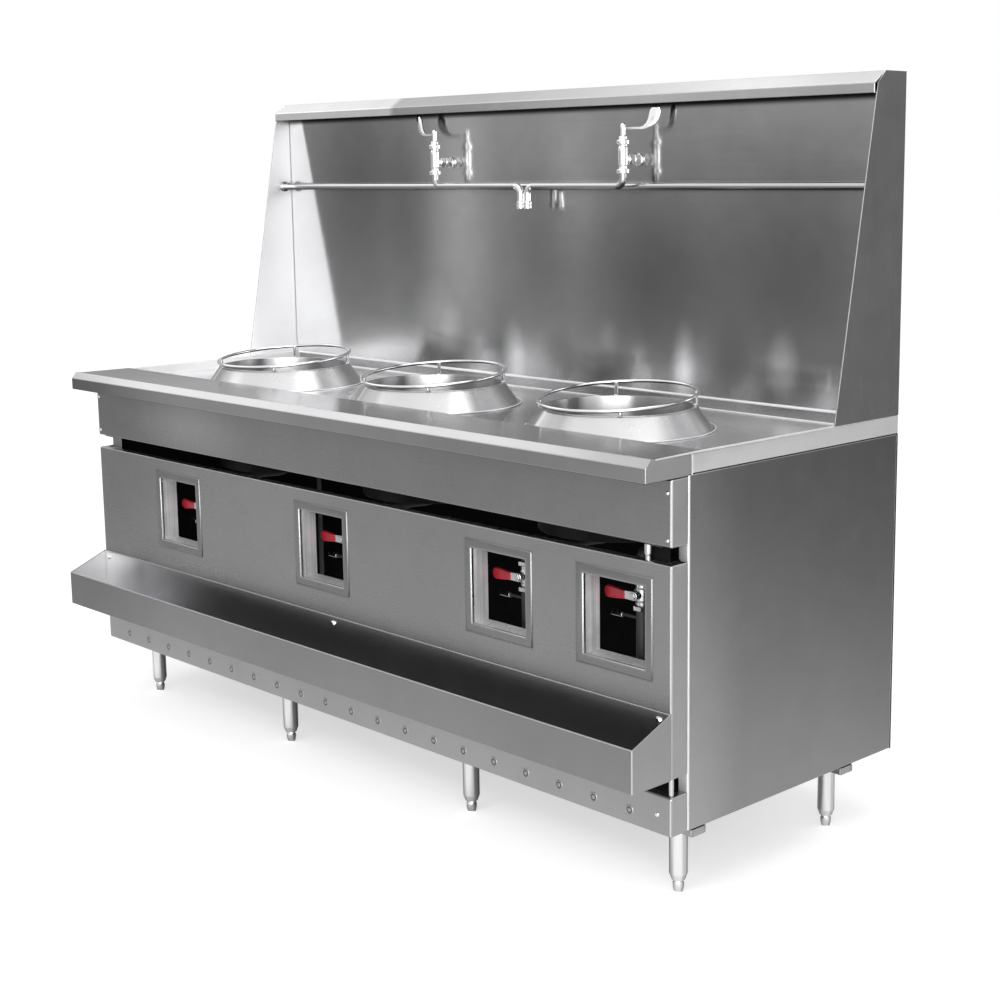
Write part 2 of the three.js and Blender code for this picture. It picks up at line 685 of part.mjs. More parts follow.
// ---------------------------------------------------------------- chambers, collars and rings

/** Cone with a flat lip at its foot, a rounded rim, and a skirt down through the deck. */
function collar(x) {
  const t = COLLAR_SHEET;
  const coneFoot = COLLAR_BASE_RADIUS - COLLAR_LIP;
  const rimRound = COLLAR_RIM_ROUND;
  const profile = [
    [THROAT_RADIUS, -SKIRT_DEPTH],
    [SKIRT_RADIUS, -SKIRT_DEPTH],
    [SKIRT_RADIUS, COLLAR_RISE - t],
    [COLLAR_RIM_RADIUS - rimRound, COLLAR_RISE - t],
    [coneFoot - t, 0],
    [COLLAR_BASE_RADIUS, 0],
    [COLLAR_BASE_RADIUS, t],
    [coneFoot + t / 2, t],
    [COLLAR_RIM_RADIUS, COLLAR_RISE - rimRound],
    [COLLAR_RIM_RADIUS - rimRound, COLLAR_RISE],
    [THROAT_RADIUS, COLLAR_RISE],
  ];
  return turned(profile, [x, CHAMBER_Y, PAN_FLOOR + SEAM], ROUND);
}

/** Lined drum that hangs from its flange under the deck, with a hole for the burner's riser. */
function chamber(x) {
  const depth = CHAMBER_TOP - CHAMBER_BASE;
  const profile = [
    [PIPE_RADIUS + PLATE_HOLE_CLEARANCE, 0],
    [CHAMBER_OUTSIDE, 0],
    [CHAMBER_OUTSIDE, depth - CHAMBER_PLATE],
    [CHAMBER_OUTSIDE + CHAMBER_FLANGE, depth - CHAMBER_PLATE],
    [CHAMBER_OUTSIDE + CHAMBER_FLANGE, depth],
    [CHAMBER_INSIDE, depth],
    [CHAMBER_INSIDE, CHAMBER_PLATE],
    [PIPE_RADIUS + PLATE_HOLE_CLEARANCE, CHAMBER_PLATE],
  ];
  return turned(profile, [x, CHAMBER_Y, CHAMBER_BASE], DRUM_ROUND);
}

/** Wire ring on four posts, a little higher at the back so that the wok leans to the cook. */
function wokRing(x) {
  const rimZ = PAN_FLOOR + SEAM + COLLAR_RISE;
  const ring = new THREE.TorusGeometry(RING_RADIUS, RING_WIRE, WIRE_ROUND, ROUND);
  ring.applyMatrix4(new THREE.Matrix4().makeShear(0, 0, 0, RING_SLOPE, 0, 0));
  ring.translate(x, CHAMBER_Y, rimZ + RING_LIFT);
  const posts = Array.from({ length: POST_COUNT }, (_, i) => {
    const angle = ((i + 0.5) * 2 * Math.PI) / POST_COUNT;
    const [dx, dy] = [POST_CIRCLE * Math.cos(angle), POST_CIRCLE * Math.sin(angle)];
    const top = rimZ + RING_LIFT + RING_SLOPE * dy;
    return rod(POST_RADIUS, [x + dx, CHAMBER_Y + dy], [rimZ + SEAM, top], 8);
  });
  return join(solid(ring), ...posts);
}

/** Cast burner with upright jets, and the supply pipe that rises to it from its valve. */
function burner(x, valveX, valveZ) {
  const seat = CHAMBER_BASE + CHAMBER_PLATE + SEAM;
  const bowl = turnedSolid(
    [
      [BURNER_RADIUS - BURNER_CHAMFER, 0],
      [BURNER_RADIUS, BURNER_CHAMFER],
      [BURNER_RADIUS, BURNER_HEIGHT / 2],
      [BURNER_RADIUS - BURNER_SHOULDER, BURNER_HEIGHT],
    ],
    [x, CHAMBER_Y, seat],
    16,
  );
  const jetTop = seat + BURNER_HEIGHT + JET_HEIGHT;
  const jetAt = (cx, cy) => turnedSolid(
    [[JET_RADIUS, -JET_HEIGHT - 2], [JET_RADIUS, -JET_CONE], [JET_RADIUS * 0.6, 0]],
    [cx, cy, jetTop],
    HEX,
  );
  const jets = Array.from({ length: JET_COUNT }, (_, i) => {
    const angle = (i * 2 * Math.PI) / JET_COUNT;
    return jetAt(x + JET_CIRCLE * Math.cos(angle), CHAMBER_Y + JET_CIRCLE * Math.sin(angle));
  });
  const pipe = bentPipe(
    [
      [valveX, VALVE_Y, valveZ + VALVE_HALF_LENGTH + SEAM],
      [valveX, VALVE_Y, LINE_Z],
      [x, CHAMBER_Y, LINE_Z],
      [x, CHAMBER_Y, seat + 2],
    ],
    PIPE_RADIUS,
    PIPE_BEND,
  );
  return join(bowl, jetAt(x, CHAMBER_Y), ...jets, pipe);
}

CHAMBER_XS.forEach((x, i) => {
  place(`collar_${i + 1}`, collar(x), POLISHED);
  place(`chamber_${i + 1}`, chamber(x), DRUM_STEEL);
  place(`wok_ring_${i + 1}`, wokRing(x), CHROME);
  place(`burner_${i + 1}`, burner(x, VALVE_XS[i], VALVE_ZS[i]), CAST_IRON);
});

// ---------------------------------------------------------------- gas pipework and ball valves

/** Pipe from side to side, with a tee under each valve. */
function gasManifold() {
  const end = SIDE_X - PANEL_SHEET - SEAM;
  const tees = VALVE_XS.map((x) => (
    rod(TEE_RADIUS, [x, VALVE_Y], [MANIFOLD_Z, MANIFOLD_Z + MANIFOLD_RADIUS + TEE_HEIGHT])
  ));
  return join(rodX(MANIFOLD_RADIUS, [VALVE_Y, MANIFOLD_Z], [-end, end]), ...tees);
}

/** Inlet pipe from the back of the cabinet, down into the main valve. */
function gasInlet() {
  const x = VALVE_XS[MAIN_VALVE];
  const port = VALVE_ZS[MAIN_VALVE] + VALVE_HALF_LENGTH + SEAM;
  return bentPipe(
    [[x, VALVE_Y, port], [x, VALVE_Y, INLET_Z], [x, BACK_Y, INLET_Z]],
    PIPE_RADIUS,
    PIPE_BEND,
  );
}

/** Upright valve: body with hexagon ends, gland towards the window, nipple down to its tee. */
function valveBody(x, z) {
  const at = [x, VALVE_Y];
  const half = VALVE_HALF_LENGTH;
  const hexFrom = half - VALVE_END_LENGTH;
  const teeTop = MANIFOLD_Z + MANIFOLD_RADIUS + TEE_HEIGHT;
  const glandFace = VALVE_Y - GLAND_REACH;
  const body = join(
    rod(VALVE_RADIUS, at, [z - hexFrom - 1, z + hexFrom + 1]),
    rod(VALVE_END_RADIUS, at, [z + hexFrom, z + half], HEX),
    rod(VALVE_END_RADIUS, at, [z - half, z - hexFrom], HEX),
    rod(PIPE_RADIUS, at, [teeTop + SEAM, z - hexFrom - 1], 8),
    rodY(GLAND_RADIUS, [x, z], [glandFace, VALVE_Y]),
  );
  const bore = [glandFace - 1, glandFace + STEM_ENGAGED + SEAM];
  return cut(body, rodY(STEM_RADIUS + PIN_CLEARANCE, [x, z], bore));
}

/** Lever: strap with its nut and stem, and a sleeve that widens to a round tip. */
function valveLever(x, z) {
  const glandFace = VALVE_Y - GLAND_REACH;
  const plateBack = glandFace - SEAM;
  const plateFront = plateBack - LEVER_PLATE;
  const plateMiddle = (plateBack + plateFront) / 2;
  const rootHalf = GRIP_ROOT_WIDTH / 2;
  const tipHalf = GRIP_TIP_WIDTH / 2;
  const tipX = x - LEVER_LENGTH + tipHalf;
  const rootX = x - GRIP_START;
  const strap = new THREE.Shape();
  strap.absarc(x, z, LEVER_HUB_RADIUS, -Math.PI / 2, Math.PI / 2);
  strap.lineTo(rootX - tipHalf, z + rootHalf - 1);
  strap.lineTo(rootX - tipHalf, z - rootHalf + 1);
  const sleeve = new THREE.Shape();
  sleeve.moveTo(rootX, z - rootHalf);
  sleeve.lineTo(rootX, z + rootHalf);
  sleeve.lineTo(tipX, z + tipHalf);
  sleeve.absarc(tipX, z, tipHalf, Math.PI / 2, 1.5 * Math.PI);
  const sleeveSpan = [plateMiddle - GRIP_THICKNESS / 2, plateMiddle + GRIP_THICKNESS / 2];
  return join(
    alongY(strap, [plateFront, plateBack], 6),
    alongY(sleeve, sleeveSpan, 6),
    rodY(LEVER_NUT_RADIUS, [x, z], [plateFront - LEVER_NUT_HEIGHT, plateMiddle], HEX),
    rodY(STEM_RADIUS, [x, z], [plateMiddle - 1, glandFace + STEM_ENGAGED]),
  );
}

place('gas_manifold', gasManifold(), PIPE_BLACK);
place('gas_inlet', gasInlet(), PIPE_BLACK);
VALVE_XS.forEach((x, i) => {
  place(`valve_body_${i + 1}`, valveBody(x, VALVE_ZS[i]), ZINC);
  place(`valve_lever_${i + 1}`, valveLever(x, VALVE_ZS[i]), RED_VINYL);
});

// ---------------------------------------------------------------- splash

/** Face of the splash, with all four edges turned back. */
function splashBack() {
  const span = [-SPLASH_INSIDE_X, SPLASH_INSIDE_X];
  const height = [DECK_HEIGHT + SEAM, TOP_Z - PANEL_SHEET - SEAM];
  return cut(
    block(span, [SPLASH_Y, SPLASH_Y + SPLASH_RETURN], height),
    block(
      [span[0] + PANEL_SHEET, span[1] - PANEL_SHEET],
      [SPLASH_Y + PANEL_SHEET, SPLASH_Y + SPLASH_RETURN + 1],
      [height[0] + PANEL_SHEET, height[1] - PANEL_SHEET],
    ),
  );
}

/** Side of the splash: a hemmed sheet whose front edge leans back, with a chamfered corner. */
function splashSide(side) {
  const edge = outline([
    [BACK_Y - SPLASH_SIDE_FOOT, DECK_HEIGHT + SEAM],
    [BACK_Y - SPLASH_SIDE_HEAD, TOP_Z - SPLASH_SIDE_CHAMFER],
    [BACK_Y - SPLASH_SIDE_TOP, TOP_Z],
    [BACK_Y, TOP_Z],
    [BACK_Y, DECK_HEIGHT + SEAM],
  ]);
  return alongX(edge, inward(side, SIDE_X, SPLASH_SIDE_SHEET));
}

/** Cap along the top: lip, slope, level top and back flange, between the side panels. */
function topCap() {
  const lipY = BACK_Y - CAP_DEPTH;
  const lipTop = TOP_Z - CAP_SLOPE_DROP;
  const line = [
    [lipY + CAP_HEM, lipTop - CAP_LIP],
    [lipY, lipTop - CAP_LIP],
    [lipY, lipTop],
    [BACK_Y - CAP_FLAT, TOP_Z],
    [BACK_Y, TOP_Z],
    [BACK_Y, TOP_Z - CAP_BACK_FLANGE],
  ];
  return alongX(foldedSheet(line, PANEL_SHEET), [-SPLASH_INSIDE_X, SPLASH_INSIDE_X]);
}

function splashRear() {
  const height = [DECK_HEIGHT + SEAM, TOP_Z - CAP_BACK_FLANGE - SEAM];
  return backSheet(SPLASH_INSIDE_X, height, 0);
}

place('splash_back', splashBack(), BRUSHED);
for (const [name, side] of Object.entries(SIDES)) {
  place(`splash_side_${name}`, splashSide(side), BRUSHED);
}
place('splash_rear', splashRear(), SATIN);
place('top_cap', topCap(), SATIN);

function railPipe() {
  const axis = [SPLASH_Y - RAIL_PIPE_STANDOFF, DECK_HEIGHT + RAIL_PIPE_LEVEL];
  const end = SPLASH_INSIDE_X;
  const rosettes = Object.values(SIDES).map((side) => (
    rodX(RAIL_ROSETTE_RADIUS, axis, inward(side, end, RAIL_ROSETTE_THICKNESS), 16)
  ));
  return join(rodX(RAIL_PIPE_RADIUS, axis, [-end + 1, end - 1]), ...rosettes);
}

place('rail_pipe', railPipe(), POLISHED);

// ---------------------------------------------------------------- taps

/** Upright body between two nuts, on an inlet from the wall with two unions and a rosette. */
function tapBody(x) {
  const at = [x, TAP_Y];
  const upperNut = TAP_INLET_Z + TAP_ABOVE;
  const nutTop = upperNut + TAP_NUT_HEIGHT;
  const lowerTop = TAP_FOOT_Z + TAP_NUT_HEIGHT;
  const wall = SPLASH_Y - SEAM;
  const unions = INLET_NUT_PLACES.map((start) => (
    rodY(INLET_NUT_RADIUS, [x, TAP_INLET_Z], [TAP_Y + start, TAP_Y + start + INLET_NUT_LENGTH], HEX)
  ));
  const rosette = [wall - INLET_ROSETTE_THICKNESS, wall];
  const body = join(
    rod(TAP_NUT_RADIUS, at, [TAP_FOOT_Z, lowerTop], 10),
    rod(TAP_NECK_RADIUS, at, [TAP_FOOT_Z + 1, TAP_HEAD_Z]),
    rod(TAP_BODY_RADIUS, at, [TAP_INLET_Z - TAP_BODY_RADIUS, upperNut + 1]),
    rod(TAP_NUT_RADIUS, at, [upperNut, nutTop], 10),
    rodY(INLET_RADIUS, [x, TAP_INLET_Z], [TAP_Y, wall - 1]),
    rodY(INLET_ROSETTE_RADIUS, [x, TAP_INLET_Z], rosette, 16),
    ...unions,
  );
  return cut(
    body,
    rod(SPINDLE_RADIUS + PIN_CLEARANCE, at, [TAP_HEAD_Z - SPINDLE_ENGAGED - SEAM, TAP_HEAD_Z + 1]),
    rod(SPOUT_RADIUS + PIN_CLEARANCE, at, [TAP_FOOT_Z - 1, TAP_FOOT_Z + SPOUT_ENGAGED + SEAM]),
  );
}

/** Wrist blade: a flat arm that turns up into a broad rounded paddle, on a hub with its spindle. */
function tapHandle(x, degrees) {
  const foot = TAP_HEAD_Z + SEAM;
  const armZ = foot + HANDLE_ARM_HEIGHT;
  const half = HANDLE_ARM_DEPTH / 2;
  const at = (along, up) => [along * HANDLE_REACH, armZ + up * HANDLE_RISE];
  const blade = new THREE.Shape();
  blade.moveTo(0, armZ - half);
  blade.lineTo(HANDLE_REACH / 2, armZ - half);
  blade.bezierCurveTo(...at(0.73, -0.04), ...at(0.99, 0.14), ...at(1, 0.71));
  blade.bezierCurveTo(...at(1, 0.93), ...at(0.86, 1), ...at(0.78, 0.89));
  blade.bezierCurveTo(...at(0.63, 0.68), ...at(0.67, 0.18), ...at(0.45, 0.06));
  blade.lineTo(0, armZ + half);
  const turn = new THREE.Matrix4().makeRotationZ(THREE.MathUtils.degToRad(degrees));
  const options = { depth: HANDLE_THICKNESS, bevelEnabled: false, curveSegments: 7 };
  const paddle = new THREE.ExtrudeGeometry(blade, options);
  paddle.rotateX(Math.PI / 2);
  paddle.translate(0, HANDLE_THICKNESS / 2, 0);
  paddle.applyMatrix4(turn.setPosition(x, TAP_Y, 0));
  return join(
    solid(paddle),
    rod(HANDLE_HUB_RADIUS, [x, TAP_Y], [foot, foot + HANDLE_HUB_HEIGHT]),
    rod(SPINDLE_RADIUS, [x, TAP_Y], [TAP_HEAD_Z - SPINDLE_ENGAGED, foot + 1], 10),
  );
}

/** Spout folded back along the wall, towards the middle of the range. */
function swingSpout(x, towards) {
  const levelZ = TAP_FOOT_Z - SPOUT_DROP;
  const nozzleX = x + towards * SPOUT_REACH;
  const tipZ = levelZ - SPOUT_NOZZLE_DROP;
  const pipe = bentPipe(
    [
      [x, TAP_Y, TAP_FOOT_Z + SPOUT_ENGAGED],
      [x, TAP_Y, levelZ],
      [nozzleX, TAP_Y, levelZ],
      [nozzleX, TAP_Y, tipZ + SPOUT_TIP_HEIGHT / 2],
    ],
    SPOUT_RADIUS,
    SPOUT_BEND,
    10,
  );
  const tip = turnedSolid(
    [[SPOUT_TIP_RADIUS - 1, 0], [SPOUT_TIP_RADIUS, 2], [SPOUT_TIP_RADIUS, SPOUT_TIP_HEIGHT]],
    [nozzleX, TAP_Y, tipZ],
    12,
  );
  return join(pipe, tip);
}

TAP_XS.forEach((x, i) => {
  place(`tap_body_${i + 1}`, tapBody(x), CHROME);
  place(`tap_handle_${i + 1}`, tapHandle(x, HANDLE_TURNS[i]), CHROME);
  place(`swing_spout_${i + 1}`, swingSpout(x, x < 0 ? 1 : -1), CHROME);
});

// ---------------------------------------------------------------- legs

/** Channel under the cabinet from side to side, open upward, that carries one row of legs. */
function crossChannel(y) {
  const half = CHANNEL_WIDTH / 2;
  const inside = half - CHANNEL_SHEET;
  return cut(
    block([-SIDE_X, SIDE_X], [y - half, y + half], [CHANNEL_BASE, CHANNEL_TOP]),
    block([-SIDE_X - 1, SIDE_X + 1], [y - inside, y + inside], [CHANNEL_BASE + CHANNEL_SHEET, CHANNEL_TOP + 1]),
  );
}

/** Tube with a round plate on top, tapered at its lower end and bored for the foot's stud. */
function leg(x, y) {
  const bore = FOOT_STUD_RADIUS + PIN_CLEARANCE;
  const boreTop = LEG_BOTTOM + FOOT_STUD_LENGTH + LEG_BORE_SPARE;
  const profile = [
    [bore, LEG_BOTTOM],
    [LEG_BOTTOM_RADIUS, LEG_BOTTOM],
    [LEG_RADIUS, LEG_TAPER_TOP],
    [LEG_RADIUS, LEG_TOP - LEG_PLATE],
    [LEG_PLATE_RADIUS, LEG_TOP - LEG_PLATE],
    [LEG_PLATE_RADIUS, LEG_TOP],
    [0, LEG_TOP],
    [0, boreTop],
    [bore, boreTop],
  ];
  return turned(profile, [x, y, 0], SMALL_ROUND);
}

/** Bullet foot screwed right up to the end of the leg. */
function foot(x, y) {
  const shoulder = LEG_BOTTOM - SEAM;
  const profile = [
    [FOOT_TOE_RADIUS, 0],
    [FOOT_RADIUS, 6],
    [FOOT_RADIUS, shoulder - 8],
    [FOOT_NECK_RADIUS, shoulder - 5],
    [FOOT_NECK_RADIUS, shoulder],
    [FOOT_STUD_RADIUS, shoulder],
    [FOOT_STUD_RADIUS, shoulder + FOOT_STUD_LENGTH],
  ];
  return turnedSolid(profile, [x, y, 0], 10);
}

for (const [row, y] of Object.entries(LEG_ROWS)) {
  place(`cross_channel_${row}`, crossChannel(y), SATIN);
  LEG_XS.forEach((x, i) => {
    place(`leg_${row}_${i + 1}`, leg(x, y), POLISHED);
    place(`foot_${row}_${i + 1}`, foot(x, y), POLISHED);
  });
}

export default range;
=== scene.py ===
# Looks of the wok range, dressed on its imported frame, with +Z up and the front facing -Y. Lengths are
# millimetres, but node trees, lights, cards and the camera take metres.

import math

import bmesh
import bpy
from mathutils import Matrix, Vector


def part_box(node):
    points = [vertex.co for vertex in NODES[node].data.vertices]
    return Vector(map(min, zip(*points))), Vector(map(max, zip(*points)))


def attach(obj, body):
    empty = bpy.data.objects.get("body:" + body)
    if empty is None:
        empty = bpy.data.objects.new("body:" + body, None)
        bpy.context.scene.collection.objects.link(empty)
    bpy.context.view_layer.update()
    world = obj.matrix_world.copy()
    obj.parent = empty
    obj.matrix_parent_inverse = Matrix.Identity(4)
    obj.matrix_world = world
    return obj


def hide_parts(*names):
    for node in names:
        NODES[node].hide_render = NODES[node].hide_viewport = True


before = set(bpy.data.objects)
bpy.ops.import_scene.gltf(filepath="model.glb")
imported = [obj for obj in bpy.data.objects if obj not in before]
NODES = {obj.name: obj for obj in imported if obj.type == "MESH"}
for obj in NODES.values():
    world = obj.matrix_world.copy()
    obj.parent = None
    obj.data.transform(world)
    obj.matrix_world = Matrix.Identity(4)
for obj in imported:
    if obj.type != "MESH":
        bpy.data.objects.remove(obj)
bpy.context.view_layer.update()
scene = bpy.context.scene
MM = 0.001
BODY = "range_body"
UP, FRONTWARD, BACKWARD, LEFTWARD = (0, 0, 1), (0, -1, 0), (0, 1, 0), (-1, 0, 0)

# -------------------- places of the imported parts

SIDE_X = 1074.0
FACE_Y = -315.5
BACK_Y = 428.5
SPLASH_Y = 368.5
PAN_FLOOR = 887.0
CHAMBER_Y = 6.5
CHAMBER_XS = (-627.0, 0.0, 627.0)
VALVE_XS = (-685.0, -58.0, 569.0, 910.0)
VALVE_ZS = (571.0, 574.0, 583.0, 601.0)
VALVE_Y = -220.5
MANIFOLD_Z = 431.0
INLET_Z = 697.0
TAP_XS = (-336.0, 356.0)
TAP_Y = 311.0
TAP_INLET_Z = 1475.0
TAP_FOOT_Z = 1442.0
TAP_HEAD_Z = 1530.5
HANDLE_TURNS = (168.0, 18.5)
RAIL_Y = 343.5
RAIL_Z = 1411.6
LEG_XS = (-952.0, -318.0, 386.0, 1020.0)
LEG_ROWS = {"front": -233.5, "rear": 261.5}
LEG_TOP = 134.7
WINDOW_XS = (-676.0, -49.0, 578.0, 919.0)
WINDOW_HALF = (85.0, 84.0)
WINDOW_MID = 565.0
BORDER = 20.0
RIM = 51.0  # of the collars, over their foot
WIRE = 4.0
RING_RADIUS = 177.0
POST_RADIUS = 172.0
RING_RISE = 22.0
RING_TILT = 0.075
DRUM_FOOT = 667.35
DRUM_TOP = 884.7
SUPPLY_Z = 646.0
RISER = 13.35
RISER_FOOT = 462.0
PIPE_BEND = 26.0
SPOUT_REACH = 333.5


# -------------------- forms


def circle(count, radius=1.0):
    """(x, y) points spaced evenly round a circle."""
    return [(radius * math.cos(a), radius * math.sin(a)) for a in (2 * math.pi * k / count for k in range(count))]


def arc(radius, first, last, step=12):
    """(x, y) points on a circle from one angle to another, in degrees."""
    turns = [math.radians(a) for a in range(first, last + 1, step)]
    return [(radius * math.cos(a), radius * math.sin(a)) for a in turns]


def arc_corner(before, corner, after, radius, steps, room):
    """Points of the round that replaces one corner and takes up at most a share of the shorter side."""
    a, c, b = Vector(before), Vector(corner), Vector(after)
    into, out = (c - a), (b - c)
    space = room * min(into.length, out.length)
    into.normalize()
    out.normalize()
    turn = into.angle(out)
    if turn < 0.02 or radius <= 0:
        return [tuple(c)]
    reach = min(radius * math.tan(turn / 2), space)
    r = reach / math.tan(turn / 2)
    side = (out - into * into.dot(out)).normalized()
    start = c - into * reach
    turns = [turn * k / steps for k in range(steps + 1)]
    return [tuple(start + into * (r * math.sin(w)) + side * (r * (1 - math.cos(w)))) for w in turns]


def rounded(line, radius, steps=4, closed=False, room=0.49):
    """The line with its corners rounded; radius is one number, or one for each point."""
    n = len(line)
    radii = [radius] * n if isinstance(radius, (int, float)) else radius
    points = []
    for i, p in enumerate(line):
        if not closed and i in (0, n - 1):
            points.append(tuple(p))
        else:
            points += arc_corner(line[i - 1], p, line[(i + 1) % n], radii[i], steps, room)
    return points


def pipe_run(corners, radius=PIPE_BEND, steps=8):
    """Line of a pipe through the corners in space, with full bends."""
    return rounded(corners, radius, steps, room=1.0)


class Form:
    """Closed shells gathered into one mesh, each with the number of its material."""

    def __init__(self):
        self.verts, self.faces, self.paints = [], [], []

    def add(self, verts, faces, paint):
        base = len(self.verts)
        self.verts += [Vector(v) for v in verts]
        self.faces += [[base + i for i in f] for f in faces]
        self.paints += [paint] * len(faces)
        return self

    def rings(self, rings, paint=0, closed=False):
        """Skin over rings of equal count, capped at both ends unless it closes on itself."""
        n, m = len(rings[0]), len(rings)
        faces = []
        for j in range(m if closed else m - 1):
            for i in range(n):
                k = (i + 1) % n
                a, b = j * n, ((j + 1) % m) * n
                faces.append([a + i, a + k, b + k, b + i])
        if not closed:
            faces.append(list(range(n))[::-1])
            faces.append([(m - 1) * n + i for i in range(n)])
        return self.add([p for ring in rings for p in ring], faces, paint)

    def lathe(self, profile, centre, segments, axis=UP, paint=0, closed=False):
        """(radius, height) profile round an axis through the centre."""
        turn = Vector(UP).rotation_difference(Vector(axis)).to_matrix()
        middle = Vector(centre)
        rings = [[turn @ Vector((u, v, h)) + middle for u, v in circle(segments, r)] for r, h in profile]
        return self.rings(rings, paint, closed)

    def hexagon(self, radius, centre, axis, span, chamfer):
        """Nut with turned chamfers; radius is over the corners."""
        inner, (low, high) = radius - chamfer * 1.1, span
        profile = [(inner, low), (radius, low + chamfer), (radius, high - chamfer), (inner, high)]
        return self.lathe(profile, centre, 6, axis)

    def tube(self, path, radius, segments=24, paint=0, ends=1.0):
        """Round bar along points, with a small round at each end."""
        pts = [Vector(p) for p in path]
        radii = [radius] * len(pts)
        first, last = (pts[1] - pts[0]).normalized(), (pts[-1] - pts[-2]).normalized()
        if ends:
            pts = [pts[0], pts[0] + first * ends, *pts[1:-1], pts[-1] - last * ends, pts[-1]]
            radii = [radius - ends, radius, *radii[1:-1], radius, radius - ends]
        heading = [
            (pts[min(i + 1, len(pts) - 1)] - pts[max(i - 1, 0)]).normalized() for i in range(len(pts))
        ]
        side = heading[0].orthogonal().normalized()
        rings = []
        for i, p in enumerate(pts):
            if i:
                side = heading[i - 1].rotation_difference(heading[i]) @ side
            side = (side - heading[i] * side.dot(heading[i])).normalized()
            up = heading[i].cross(side)
            rings.append([p + (side * u + up * v) * radii[i] for u, v in circle(segments)])
        return self.rings(rings, paint)

    def slab(self, outline, y_from, y_to, ease=0.6, paint=0):
        """Outline in (x, z) between two depths, its rims eased."""
        n = len(outline)
        middle = Vector((sum(u for u, v in outline) / n, sum(v for u, v in outline) / n))
        spokes = [Vector(p) - middle for p in outline]
        inner = [tuple(middle + spoke * (1 - ease / max(spoke.length, ease))) for spoke in spokes]
        rings = [(inner, y_from), (outline, y_from + ease), (outline, y_to - ease), (inner, y_to)]
        return self.rings([[(u, y, v) for u, v in line] for line, y in rings], paint)


def finish_mesh(name, mesh, materials, node, body, sharp, weighted, at=(0, 0, 0)):
    """Object from a mesh in metres: materials, smooth shading up to an angle, and what it rides on."""
    for m in materials:
        mesh.materials.append(m)
    for p in mesh.polygons:
        p.use_smooth = True
    mesh.set_sharp_from_angle(angle=math.radians(sharp))
    obj = bpy.data.objects.new(name, mesh)
    scene.collection.objects.link(obj)
    if weighted:
        even = obj.modifiers.new("even", "WEIGHTED_NORMAL")
        even.keep_sharp = True
        even.weight = 100
    obj.matrix_world = Matrix.Translation(Vector(at) * MM)
    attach(obj, body)
    if node:
        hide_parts(node)


def piece(name, form, materials, node=None, origin=(0, 0, 0), body=BODY, sharp=32, weighted=False):
    """Object from a form in millimetres. The origin is the point that its texture is centred on."""
    mesh = bpy.data.meshes.new(name)
    at = Vector(origin)
    mesh.from_pydata([(v - at) * MM for v in form.verts], [], form.faces)
    for p, paint in zip(mesh.polygons, form.paints):
        p.material_index = paint
    bm = bmesh.new()
    bm.from_mesh(mesh)
    bmesh.ops.recalc_face_normals(bm, faces=bm.faces)
    bm.to_mesh(mesh)
    bm.free()
    finish_mesh(name, mesh, materials, node, body, sharp, weighted, at)


SAME_POINT = 2e-5  # metres
RIM_ROUND = 0.5  # millimetres, on a sheet's own edges
FLAT, FOLD, SOFT = 1.5, 20, 40  # degrees
BROAD = 2.1  # bends' breadths that a face needs for a full bend
LONG = 9  # millimetres that an edge needs for one


def eased(node, materials, bend=2.4, pick=None):
    """Copy of a folded sheet with round bends between broad faces and small rounds on its edges.

    pick(normal, centre) gives the number of a face's material, and the centre is in millimetres.
    """
    mesh = NODES[node].data.copy()
    mesh.materials.clear()
    bm = bmesh.new()
    bm.from_mesh(mesh)
    bmesh.ops.remove_doubles(bm, verts=bm.verts, dist=SAME_POINT)
    bmesh.ops.dissolve_limit(bm, angle_limit=math.radians(FLAT), verts=bm.verts, edges=bm.edges)
    weight = bm.edges.layers.float.new("bevel_weight_edge")
    for e in bm.edges:
        if len(e.link_faces) != 2 or e.calc_face_angle(0) < math.radians(FOLD):
            continue
        length = e.calc_length()
        breadth = min(f.calc_area() for f in e.link_faces) / length
        broad = breadth > BROAD * bend * MM and length > LONG * MM and e.calc_face_angle_signed(0) > 0
        e[weight] = 1.0 if broad else RIM_ROUND / bend
    bmesh.ops.triangulate(bm, faces=bm.faces, quad_method="BEAUTY", ngon_method="EAR_CLIP")
    bm.to_mesh(mesh)
    bm.free()
    draft = bpy.data.objects.new("draft", mesh)
    scene.collection.objects.link(draft)
    bevel = draft.modifiers.new("bevel", "BEVEL")
    bevel.width = bend * MM
    bevel.segments = 3
    bevel.limit_method = "WEIGHT"
    bevel.use_clamp_overlap = False
    bevel.loop_slide = False
    bpy.context.view_layer.update()
    baked = bpy.data.meshes.new_from_object(draft.evaluated_get(bpy.context.evaluated_depsgraph_get()))
    bpy.data.objects.remove(draft)
    baked.name = f"{node}_sheet"
    low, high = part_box(node)
    for v in baked.vertices:
        v.co = [min(max(c, a), b) for c, a, b in zip(v.co, low, high)]
    if pick:
        for p in baked.polygons:
            p.material_index = pick(p.normal, p.center / MM)
    finish_mesh(f"{node}_sheet", baked, materials, node, BODY, SOFT, True)


# -------------------- materials


